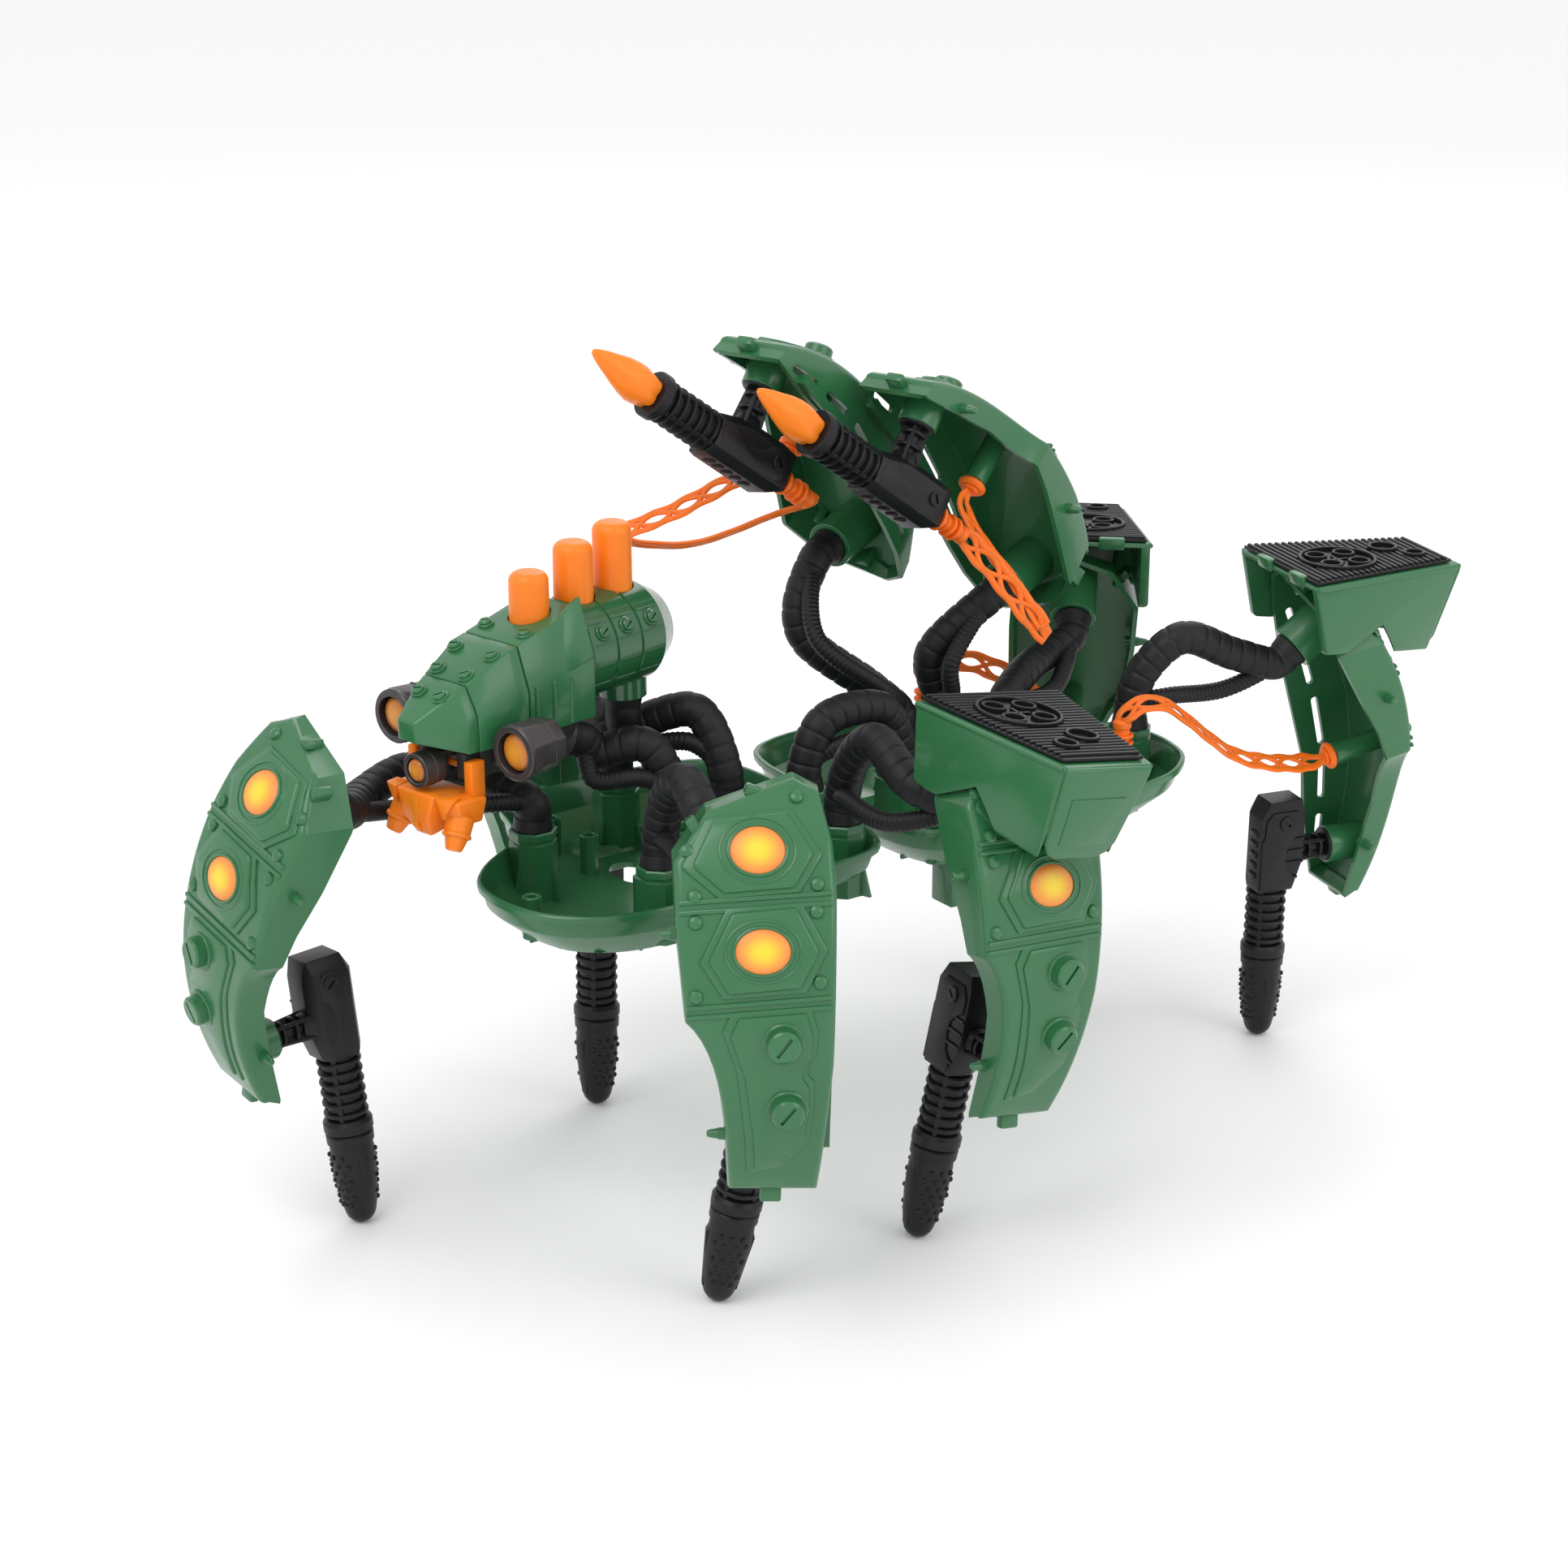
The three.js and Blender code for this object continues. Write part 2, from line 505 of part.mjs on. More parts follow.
function tailBarrel() {
  const at = (y, dz = 0) => v3(0, y, TAIL.z + dz);
  const drum = bar(at(TAIL.from), at(TAIL.shoulder), TAIL.r, TAIL.r, 12);
  const end = bar(at(TAIL.shoulder), at(TAIL.to), TAIL.r, 13, 12);
  const under = (z) => v3(0, TAIL.socket, z);
  const neck = bar(under(-2), under(-12), 8.6, 8.6, 10);
  const neckBore = bar(under(1), under(-13), PLUG_R + GAP, PLUG_R + GAP, 12);
  const bores = PLUNGERS.slice(1).map(plungerBore);
  return meshOf("head_tail", cut(join(drum, end, neck), neckBore, ...bores), DEEP_GREEN);
}

function plunger({ name, y, base, top }) {
  const height = top - base;
  const edge = PLUNGER_R - 2.5;
  const profile = [[0, 0], [PLUNGER_R, 0], [PLUNGER_R, height - 2.5], [edge, height], [0, height]];
  const mesh = meshOf("plunger_" + name, turned(profile, 14), ORANGE);
  mesh.position.set(0, y, base);
  return mesh;
}

const NECK = { at: [3, 40, -18], into: [-0.2, -0.92, 0.34] };
function headBase() {
  const body = hull([
    [-13, -8, -8.4], [13, -8, -8.4], [-13, 40, -8.4], [13, 40, -8.4],
    [-11, -4, -19], [11, -4, -19], [-10, 36, -20], [10, 36, -20],
  ]);
  const neckAt = v3(...NECK.at);
  const into = v3(...NECK.into).normalize();
  const reach = (t) => neckAt.clone().addScaledVector(into, t);
  const socket = bar(reach(0), reach(16), 8.8, 8.8, 10);
  const socketBore = bar(reach(-3), reach(13), PLUG_R + GAP, PLUG_R + GAP, 12);
  const underCowl = block(-40, 40, -60, 60, -8.4, 20);
  const axleBore = bar(v3(-40, 0, -13), v3(40, 0, -13), 2.9, 2.9, 10);
  const jawLugs = [-9, 9].map((x) => block(x - 2, x + 2, -13, -4, -18, -9));
  const jawBore = bar(v3(-20, -10.5, -14), v3(20, -10.5, -14), 1.5, 1.5, 8);
  const solidBase = join(body, socket, ...jawLugs);
  return meshOf("head_base", cut(solidBase, socketBore, underCowl, axleBore, jawBore), GUNMETAL);
}

function eyePod(name, side) {
  const x = 28.5 * side;
  const housing = bar(v3(x, 9, -6), v3(x, -8, -6), 8.6, 10, 8);
  const recess = bar(v3(x, -3.5, -6), v3(x, -10, -6), 6.8, 6.8, 14);
  const arm = bar(v3(21 * side, 0, -13.5), v3(x, 0, -12), 3.2, 3.8, 6);
  const axle = bar(v3(8 * side, 0, -13), v3(23 * side, 0, -13), 2.5, 2.5, 10);
  return meshOf("eye_pod_" + name, cut(join(housing, arm, axle), recess), GUNMETAL);
}

function eyeLens(name, side) {
  const profile = [[0, 0], [6.4, 0], [6.2, 2.6], [4, 4], [0, 4.6]];
  const mesh = meshOf("eye_lens_" + name, turned(profile, 12), AMBER);
  mesh.rotation.x = Math.PI / 2;
  mesh.position.set(28.5 * side, -3.5 - GAP, -6);
  return mesh;
}

function noseLamp() {
  const housing = cut(
    bar(v3(0, -16, -14), v3(0, -25, -14), 5.6, 6, 8),
    bar(v3(0, -22, -14), v3(0, -27, -14), 4.2, 4.2, 10),
  );
  const jawPinRoom = bar(v3(-9, -10.5, -14), v3(9, -10.5, -14), 2, 2, 8);
  const stalk = cut(block(-3.5, 3.5, -17, -8.5, -18, -9), jawPinRoom);
  const lens = turned([[0, 0], [3.9, 0], [3.6, 2.4], [0, 3.4]], 10);
  const lensMesh = meshOf("nose_lens", lens, AMBER);
  lensMesh.rotation.x = Math.PI / 2;
  lensMesh.position.set(0, -22 - GAP, -14);
  return [meshOf("nose_lamp", join(housing, stalk), GUNMETAL), lensMesh];
}

function muzzle() {
  const jaw = hull([
    [-17, -26, -21], [17, -26, -21], [-18, -8, -22], [18, -8, -22],
    [-14, -24, -33], [14, -24, -33], [-13, -8, -35], [13, -8, -35],
  ]);
  const fangs = [-13, 13].map((x) => hull([
    [x - 4, -26, -31], [x + 4, -26, -31], [x - 4, -14, -32], [x + 4, -14, -32], [x, -24, -41],
  ]));
  const ears = [-13.4, 13.4].map((x) => block(x - 2, x + 2, -14, -8, -24, -11));
  const pin = bar(v3(-13, -10.5, -14), v3(13, -10.5, -14), 1.15, 1.15, 8);
  return meshOf("muzzle", join(jaw, pin, ...fangs, ...ears), ORANGE);
}

function headGroup() {
  const group = new THREE.Group();
  group.position.set(...HEAD.at);
  group.rotation.z = deg(HEAD.turn);
  group.add(cowl(), tailBarrel(), headBase(), muzzle(), ...noseLamp(), ...PLUNGERS.map(plunger));
  for (const [name, side] of [["left", -1], ["right", 1]])
    group.add(eyePod(name, side), eyeLens(name, side));
  group.updateMatrixWorld(true);
  return group;
}

// ---------------------------------------------------------------- the robot
const robot = new THREE.Group();
const legs = Object.fromEntries(LEGS.map((leg) => [leg.name, { side: leg.side, group: legGroup(leg) }]));
const arms = Object.fromEntries(ARMS.map((arm) => [arm.name, { side: arm.side, group: armGroup(arm) }]));
const head = headGroup();
for (const { group } of [...Object.values(legs), ...Object.values(arms)]) robot.add(group);
robot.add(
  head,
  pan(
    "front_pan", -1,
    ["front", "front_left", "front_right", "mid_right", "link_front", "neck_front", "neck_rear"],
    [[-42, -84], [18, -128], [-44, -22], [24, -88], [34, -50], [-20, -82]], [],
  ),
  pan(
    "rear_pan", 1,
    ["link_rear", "arm_left", "arm_right", "rear_left", "rear"],
    [[-40, 24], [40, 24], [12, 66], [42, 70], [4, 118]], [[38, 112], [-44, 84]],
  ),
);

const inHead = (at, into) => ({
  at: v3(...at).applyMatrix4(head.matrixWorld),
  into: v3(...into).transformDirection(head.matrixWorld),
});
const HOSES = {
  front: [[[-27, -120, 151], [-38, -142, 155], [-32, -163, 152]], [[-14, -128, 147], [-24, -150, 147]]],
  front_left: [[[-44, -59.5, 156], [-54, -60, 155]], [[-42, -66, 146], [-52, -66, 148]]],
  front_right: [[[48, -93, 160], [64, -96, 171], [82, -98, 160]], [[56, -97, 147], [76, -101, 146]]],
  mid_right: [[[49, -19, 158], [64, -20, 170], [84, -19, 160]], [[54, -25, 147], [78, -24, 146]]],
  rear: [[[25, 133, 156], [31, 146, 168], [38, 166, 160]], [[30, 140, 146], [36, 164, 146]]],
  rear_left: [[[-9, 99, 148], [-15, 111, 151], [-23, 126, 151]], [[-3, 104, 143], [-9, 120, 144]]],
};
for (const [name, [via, thin]] of Object.entries(HOSES)) {
  const { group, side } = legs[name];
  robot.add(hose("hose_" + name, [inTower(name), inShell(group, side)], via, thin));
}
robot.add(
  hose(
    "hose_arm_left", [inTower("arm_left"), inShell(arms.left.group, arms.left.side)],
    [[-22, 42, 154], [-39, 24, 172], [-43, 24, 183]], [[-10, 40, 156], [-26, 20, 176]],
  ),
  hose(
    "hose_arm_right", [inTower("arm_right"), inShell(arms.right.group, arms.right.side)],
    [[-21, 70, 152], [-20, 68, 163]], [[-10, 70, 150], [-8, 68, 162]],
  ),
  hose(
    "hose_link", [inTower("link_front"), inTower("link_rear")],
    [[9, -2, 158], [9, 23, 158]], [[14, 2, 150], [14, 20, 150]],
  ),
  hose(
    "hose_neck_front", [inHead(NECK.at, NECK.into), inTower("neck_front")],
    [[-12, -84, 158], [-1, -70, 160]], [[-6, -88, 150], [3, -74, 150]],
  ),
  hose(
    "hose_neck_rear", [inHead([0, TAIL.socket, -12], [0, 0, 1]), inTower("neck_rear")],
    [[-28, -60, 158], [-12, -42, 164]], [[-26, -64, 152], [-8, -46, 154]],
  ),
);
const downInto = (x, y) => ({ at: v3(x, y, PAN.rimZ + 1), into: v3(0, 0, -1) });
robot.add(
  strap(
    "strap_rear", downInto(38, 112), inPost(legs.rear.group, 1),
    [[42, 124, 150], [50, 160, 124]],
  ),
  strap(
    "strap_rear_left", downInto(-44, 84), inPost(legs.rear_left.group, 1),
    [[-56, 90, 147], [-50, 120, 140]],
  ),
  strap(
    "strap_arm_left", inCannon(arms.left.group), inPost(arms.left.group, 1),
    [[-30, 6, 224], [-44, -24, 214], [-54, -46, 218], [-48, -26, 226], [-43, 0, 236]],
  ),
  strap(
    "strap_arm_right", inCannon(arms.right.group), inPost(arms.right.group, -1),
    [[15, 70, 202], [26, 84, 180], [15, 79, 196], [3, 70, 214]],
  ),
);

// The origin goes to the middle of the footprint, on the floor.
robot.updateMatrixWorld(true);
const box = new THREE.Box3().setFromObject(robot, true);
robot.position.set(-(box.min.x + box.max.x) / 2, -(box.min.y + box.max.y) / 2, -box.min.z);

export default robot;
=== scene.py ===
"""Looks of a hexapod spider robot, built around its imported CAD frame.

Lengths are in millimetres; Form.mesh() and placed() bring them to metres. The head and each shell
and rod have frames of their own, worked out from the record's joints.
"""

import json
import math

import bmesh
import bpy
from mathutils import Matrix, Vector


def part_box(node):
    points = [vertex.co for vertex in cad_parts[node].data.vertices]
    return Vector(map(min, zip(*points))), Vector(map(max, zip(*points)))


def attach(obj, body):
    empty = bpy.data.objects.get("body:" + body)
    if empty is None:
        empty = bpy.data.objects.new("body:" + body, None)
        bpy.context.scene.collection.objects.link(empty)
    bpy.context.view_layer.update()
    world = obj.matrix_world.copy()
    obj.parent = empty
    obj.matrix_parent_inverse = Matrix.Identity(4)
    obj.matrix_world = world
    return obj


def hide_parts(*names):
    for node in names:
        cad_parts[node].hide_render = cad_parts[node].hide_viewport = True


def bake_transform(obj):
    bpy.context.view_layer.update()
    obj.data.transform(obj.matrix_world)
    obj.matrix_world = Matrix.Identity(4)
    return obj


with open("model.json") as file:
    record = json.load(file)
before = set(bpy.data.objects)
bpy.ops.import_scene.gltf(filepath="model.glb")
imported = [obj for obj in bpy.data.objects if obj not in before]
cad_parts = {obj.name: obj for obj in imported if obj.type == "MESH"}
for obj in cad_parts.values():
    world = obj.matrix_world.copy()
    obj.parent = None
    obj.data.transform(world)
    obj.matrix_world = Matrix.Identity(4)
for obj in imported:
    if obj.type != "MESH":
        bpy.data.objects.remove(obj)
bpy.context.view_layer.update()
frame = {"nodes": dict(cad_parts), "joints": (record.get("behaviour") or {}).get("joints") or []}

MM = 0.001
WALL = 1.8
GAP = 0.35
JOINTS = {j["name"]: j for j in frame["joints"]}
# 1 where the shell is as drawn, and -1 where it is the mirror image
LEGS = {"front": -1, "front_left": -1, "front_right": 1, "mid_right": 1, "rear": 1, "rear_left": 1}
CAPPED = ("mid_right", "rear", "rear_left")
ARMS = {"left": 1, "right": -1}

CAMERA_AT = Vector((0.8391, -0.6280, 0.5191))
CAMERA_LOOKS_AT = Vector((0.0062, -0.0448, 0.149))
CAMERA_LENS, CAMERA_SENSOR = 72.67, 36
GRAIN_DEPTH = 0.0002  # metres
WEAR_SCALE = 14
FLOOR_HALF = 40  # metres, so that its edge isn't seen

# ------------------------------------------------------------------ camera, light and floor


def linked(name, data):
    obj = bpy.data.objects.new(name, data)
    bpy.context.scene.collection.objects.link(obj)
    return obj


def aimed(name, data, at, target):
    obj = linked(name, data)
    obj.location = at
    obj.rotation_euler = (Vector(target) - obj.location).to_track_quat("-Z", "Y").to_euler()
    return obj


def camera():
    data = bpy.data.cameras.new("camera")
    data.lens = CAMERA_LENS
    data.sensor_width = CAMERA_SENSOR
    bpy.context.scene.camera = aimed("camera", data, CAMERA_AT, CAMERA_LOOKS_AT)


def area_light(name, at, target, size, power):
    data = bpy.data.lights.new(name, "AREA")
    data.energy = power
    data.size = size
    aimed(name, data, at, target)


def studio():
    world = bpy.data.worlds.new("studio")
    world.use_nodes = True
    world.node_tree.nodes["Background"].inputs["Color"].default_value = (1, 1, 1, 1)
    world.node_tree.nodes["Background"].inputs["Strength"].default_value = 1.0
    bpy.context.scene.world = world
    area_light("key", (0.3, -1.1, 1.5), (0, 0, 0.1), 1.0, 9)
    area_light("side", (1.4, 0.5, 0.9), (0, 0, 0.1), 0.9, 4)
    area_light("back", (-1.1, 1.1, 1.3), (0, 0, 0.15), 1.0, 5)
    bpy.context.scene.view_settings.view_transform = "Standard"


# ------------------------------------------------------------------ materials


def blank_material(name):
    made = bpy.data.materials.new(name)
    made.use_nodes = True
    return made, made.node_tree, made.node_tree.nodes["Principled BSDF"]


def noise_over(tree, scale, detail):
    """A noise in the piece's own frame, so that it stays put when the piece moves."""
    place = tree.nodes.new("ShaderNodeTexCoord")
    noise = tree.nodes.new("ShaderNodeTexNoise")
    noise.inputs["Scale"].default_value = scale
    noise.inputs["Detail"].default_value = detail
    tree.links.new(place.outputs["Object"], noise.inputs["Vector"])
    return noise.outputs["Fac"]


def ramp_over(tree, shader, source, *stops):
    """The base colour, run by a source between two (place, colour) stops."""
    ramp = tree.nodes.new("ShaderNodeValToRGB")
    for element, (position, colour) in zip(ramp.color_ramp.elements, stops):
        element.position = position
        element.color = (*colour, 1)
    tree.links.new(source, ramp.inputs["Fac"])
    tree.links.new(ramp.outputs["Color"], shader.inputs["Base Color"])
    return ramp


def grain(tree, shader, scale, depth):
    """A fine bump over the whole piece, as a mould's surface leaves it."""
    bump = tree.nodes.new("ShaderNodeBump")
    bump.inputs["Strength"].default_value = depth
    bump.inputs["Distance"].default_value = GRAIN_DEPTH
    tree.links.new(noise_over(tree, scale, 3), bump.inputs["Height"])
    tree.links.new(bump.outputs["Normal"], shader.inputs["Normal"])


def wear(tree, shader, colour, shade, rough):
    """Slow changes of colour and gloss over the piece."""
    noise = noise_over(tree, WEAR_SCALE, 4)
    ramp_over(tree, shader, noise, (0.3, shade), (0.7, colour))
    gloss = tree.nodes.new("ShaderNodeMapRange")
    gloss.inputs["To Min"].default_value = rough - 0.06
    gloss.inputs["To Max"].default_value = rough + 0.08
    tree.links.new(noise, gloss.inputs["Value"])
    tree.links.new(gloss.outputs["Result"], shader.inputs["Roughness"])


def material(name, colour, shade, rough, bump=0.15, grain_scale=900, **inputs):
    made, tree, shader = blank_material(name)
    made.diffuse_color = (*colour, 1)
    wear(tree, shader, colour, shade, rough)
    grain(tree, shader, grain_scale, bump)
    for key, value in inputs.items():
        shader.inputs[key.replace("_", " ")].default_value = value
    return made


def glow(name, middle, rim, rough):
    """A lamp: its colour runs from the middle outwards by the mesh attribute 'radial'."""
    made, tree, shader = blank_material(name)
    made.diffuse_color = (*middle, 1)
    radial = tree.nodes.new("ShaderNodeAttribute")
    radial.attribute_name = "radial"
    ramp = ramp_over(tree, shader, radial.outputs["Fac"], (0.12, middle), (0.95, rim))
    ramp.color_ramp.interpolation = "EASE"
    shader.inputs["Roughness"].default_value = rough
    grain(tree, shader, 500, 0.1)
    return made


GREEN = material("green", (0.027, 0.148, 0.054), (0.022, 0.128, 0.045), 0.27, Coat_Weight=0.15)
DEEP = material("deep_green", (0.016, 0.108, 0.036), (0.013, 0.09, 0.03), 0.2, Coat_Weight=0.4)
BLACK = material(
    "black", (0.0075, 0.0075, 0.0095), (0.0055, 0.0055, 0.007), 0.4, 0.3, 700, Specular_IOR_Level=0.3,
)
RUBBER = material(
    "rubber", (0.011, 0.011, 0.013), (0.008, 0.008, 0.0095), 0.5, 0.35, 600, Specular_IOR_Level=0.3,
)
GUNMETAL = material(
    "gunmetal", (0.055, 0.048, 0.05), (0.045, 0.04, 0.042), 0.34, 0.25, 700, Metallic=0.35,
)
ORANGE = material(
    "orange", (0.93, 0.23, 0.012), (0.87, 0.20, 0.009), 0.34, 0.2, 500,
    Subsurface_Weight=0.25, Subsurface_Scale=0.004, Specular_IOR_Level=0.35,
)
STRAP = material(
    "strap_orange", (0.93, 0.175, 0.01), (0.86, 0.15, 0.008), 0.4, 0.2, 500,
    Subsurface_Weight=0.2, Subsurface_Scale=0.003, Specular_IOR_Level=0.35,
)
LAMP = glow("lamp", (0.86, 0.60, 0.03), (0.76, 0.24, 0.045), 0.4)
LENS = glow("lens", (0.66, 0.27, 0.03), (0.50, 0.15, 0.016), 0.2)

# ------------------------------------------------------------------ shapes


def finish(bm):
    bmesh.ops.recalc_face_normals(bm, faces=bm.faces)
    return bm


def raw(verts, faces):
    bm = bmesh.new()
    made = [bm.verts.new(v) for v in verts]
    for face in faces:
        bm.faces.new([made[i] for i in face])
    return finish(bm)


def block(x0, x1, y0, y1, z0, z1):
    corners = [(x, y, z) for x in (x0, x1) for y in (y0, y1) for z in (z0, z1)]
    return raw(corners, [(0, 1, 3, 2), (4, 6, 7, 5), (0, 4, 5, 1), (2, 3, 7, 6), (0, 2, 6, 4), (1, 5, 7, 3)])


def prism(points, z0, z1):
    n = len(points)
    verts = [(x, y, z0) for x, y in points] + [(x, y, z1) for x, y in points]
    sides = [(i, (i + 1) % n, (i + 1) % n + n, i + n) for i in range(n)]
    return raw(verts, [tuple(range(n)), tuple(range(2 * n - 1, n - 1, -1)), *sides])


def hull(points):
    bm = bmesh.new()
    for p in points:
        bm.verts.new(p)
    bmesh.ops.convex_hull(bm, input=bm.verts)
    loose = [v for v in bm.verts if not v.link_faces]
    bmesh.ops.delete(bm, geom=loose, context="VERTS")
    bmesh.ops.dissolve_limit(bm, angle_limit=math.radians(1), verts=bm.verts, edges=bm.edges)
    return finish(bm)


def skinned(rings):
    """A closed skin over a row of outlines with as many points each."""
    n = len(rings[0])
    verts = [v for ring in rings for v in ring]
    faces = [tuple(range(n)), tuple(range(len(verts) - n, len(verts)))]
    for k in range(0, len(verts) - n, n):
        for i in range(n):
            j = (i + 1) % n
            faces.append((k + i, k + j, k + n + j, k + n + i))
    return raw(verts, faces)


def lathe(profile, sides=36, turn=0.0):
    """A turned piece about +Z from [radius, height] pairs; a ring if it doesn't start on the axis."""
    closed = profile[0][0] > 0
    verts, rings = [], []
    for r, h in profile:
        if r == 0:
            rings.append([len(verts)])
            verts.append((0, 0, h))
            continue
        rings.append(list(range(len(verts), len(verts) + sides)))
        for i in range(sides):
            a = 2 * math.pi * (i + turn) / sides
            verts.append((r * math.cos(a), r * math.sin(a), h))
    faces = []
    pairs = list(zip(rings, rings[1:]))
    if closed:
        pairs.append((rings[-1], rings[0]))
    for low, high in pairs:
        for i in range(sides):
            j = (i + 1) % sides
            if len(low) == 1 and len(high) == 1:
                break
            if len(low) == 1:
                faces.append((low[0], high[i], high[j]))
            elif len(high) == 1:
                faces.append((low[i], low[j], high[0]))
            else:
                faces.append((low[i], low[j], high[j], high[i]))
    return raw(verts, faces)


def toward(at, direction, turn=0.0):
    """A frame at a point whose +Z runs along a direction."""
    tilt = Vector(direction).to_track_quat("Z", "Y").to_matrix().to_4x4()
    return Matrix.Translation(at) @ tilt @ Matrix.Rotation(turn, 4, "Z")


def shift(x, y, z):
    return Matrix.Translation((x, y, z))


def spin(degrees, axis="Z"):
    return Matrix.Rotation(math.radians(degrees), 4, axis)


def flipped(side):
    return Matrix.Diagonal((1, side, 1, 1))


def moved(bm, matrix):
    bmesh.ops.transform(bm, matrix=matrix, verts=bm.verts)
    if matrix.determinant() < 0:
        bmesh.ops.reverse_faces(bm, faces=bm.faces)
    return bm


def bar(a, b, ra, rb=None, sides=32, edge=0.0):
    a, b = Vector(a), Vector(b)
    rb = ra if rb is None else rb
    length = (b - a).length
    profile = [(0, 0), (ra - edge, 0), (ra, edge), (rb, length - edge), (rb - edge, length), (0, length)]
    if not edge:
        profile = [(0, 0), (ra, 0), (rb, length), (0, length)]
    return moved(lathe(profile, sides, 0.5), toward(a, b - a))


def pipe(a, b, r, bore, sides=32, edge=0.3):
    a, b = Vector(a), Vector(b)
    length = (b - a).length
    profile = [
        (r - edge, 0), (r, edge), (r, length - edge), (r - edge, length), (bore + edge, length),
        (bore, length - edge), (bore, edge), (bore + edge, 0),
    ]
    return moved(lathe(profile, sides, 0.5), toward(a, b - a))


def soften(bm, width, segments=2, angle=30):
    limit = math.radians(angle)
    edges = [e for e in bm.edges if len(e.link_faces) == 2 and e.calc_face_angle(0) > limit]
    bmesh.ops.bevel(
        bm, geom=edges, offset=width, offset_type="OFFSET", segments=segments, profile=0.5,
        affect="EDGES", clamp_overlap=True,
    )
    return bm


def sliced(bm, axis, low, high, step):
    normal = Vector((axis == 0, axis == 1, axis == 2))
    for i in range(int((high - low) / step) + 1):
        at = normal * (low + i * step)
        geom = bm.verts[:] + bm.edges[:] + bm.faces[:]
        bmesh.ops.bisect_plane(bm, geom=geom, plane_co=at, plane_no=normal, dist=1e-4)
    return bm


def kept_between(bm, axis, low, high):
    """Cuts a closed solid down to a slice and closes it again."""
    normal = Vector((axis == 0, axis == 1, axis == 2))
    for at, out in ((low, -normal), (high, normal)):
        geom = bm.verts[:] + bm.edges[:] + bm.faces[:]
        bmesh.ops.bisect_plane(
            bm, geom=geom, plane_co=normal * at, plane_no=out, clear_outer=True, dist=1e-5,
        )
        bmesh.ops.holes_fill(bm, edges=[e for e in bm.edges if e.is_boundary])
    return finish(bm)


def smooth_path(points, step):
    """Even steps along the centripetal curve through the points, as the CAD's hoses follow."""
    p = [Vector(q) for q in points]
    p = [p[0] * 2 - p[1], *p, p[-1] * 2 - p[-2]]
    fine = []
    for a, b, c, d in zip(p, p[1:], p[2:], p[3:]):
        t0, t1, t2 = (max((v - u).length, 1e-4) ** 0.5 for u, v in ((a, b), (b, c), (c, d)))
        m1 = ((b - a) / t0 - (c - a) / (t0 + t1) + (c - b) / t1) * t1
        m2 = ((c - b) / t1 - (d - b) / (t1 + t2) + (d - c) / t2) * t1
        for i in range(24):
            t = i / 24
            fine.append(
                b * (2 * t**3 - 3 * t**2 + 1) + m1 * (t**3 - 2 * t**2 + t)
                + c * (3 * t**2 - 2 * t**3) + m2 * (t**3 - t**2)
            )
    fine.append(p[-2])
    total = sum((v - u).length for u, v in zip(fine, fine[1:]))
    count = max(2, round(total / step))
    out, walked, k = [fine[0]], 0.0, 0
    for i in range(1, count):
        want = total * i / count
        while walked + (fine[k + 1] - fine[k]).length < want:
            walked += (fine[k + 1] - fine[k]).length
            k += 1
        gap = (fine[k + 1] - fine[k]).length
        out.append(fine[k].lerp(fine[k + 1], (want - walked) / gap))
    return out + [fine[-1]]


def frames_along(path, across=Vector((0, 0, 1))):
    """Two directions across the path at each point, carried along without twist."""
    ahead, behind = [*path[1:], path[-1]], [path[0], *path[:-1]]
    tangents = [(a - b).normalized() for a, b in zip(ahead, behind)]
    side = tangents[0].cross(across)
    if side.length < 0.1:
        side = tangents[0].cross(Vector((1, 0, 0)))
    out = []
    for t in tangents:
        side = (side - t * side.dot(t)).normalized()
        out.append((side, t.cross(side)))
    return out


def sweep(path, section, frames=None):
    """A closed skin along a path; section(distance) gives the outline's (side, up) points."""
    rings, walked = [], 0.0
    for i, (at, (side, up)) in enumerate(zip(path, frames or frames_along(path))):
        walked += (at - path[i - 1]).length if i else 0
        rings.append([at + side * u + up * v for u, v in section(walked)])
    return skinned(rings)


def circle(r, sides, squash=1.0):
    return [
        (r * math.cos(2 * math.pi * i / sides), r * squash * math.sin(2 * math.pi * i / sides))
        for i in range(sides)
    ]


def in_scene(bm):
    """A shape as an object, for a modifier to work on."""
    mesh = bpy.data.meshes.new("work")
    bm.to_mesh(mesh)
    bm.free()
    return linked("work", mesh)


def out_of_scene(*objects):
    """The first object's shape after its modifiers. The objects are taken away."""
    bpy.context.view_layer.update()
    done = objects[0].evaluated_get(bpy.context.evaluated_depsgraph_get())
    out = bmesh.new()
    out.from_mesh(done.to_mesh())
    done.to_mesh_clear()
    for obj in objects:
        mesh = obj.data
        bpy.data.objects.remove(obj)
        bpy.data.meshes.remove(mesh)
    return out


def boolean(bm, tool, operation="DIFFERENCE"):
    """Cuts a closed solid by another one."""
    body, cutter = in_scene(bm), in_scene(tool)
    modifier = body.modifiers.new("boolean", "BOOLEAN")
    modifier.operation = operation
    modifier.object = cutter
    modifier.solver = "EXACT"
    modifier.use_self = True
    return out_of_scene(body, cutter)


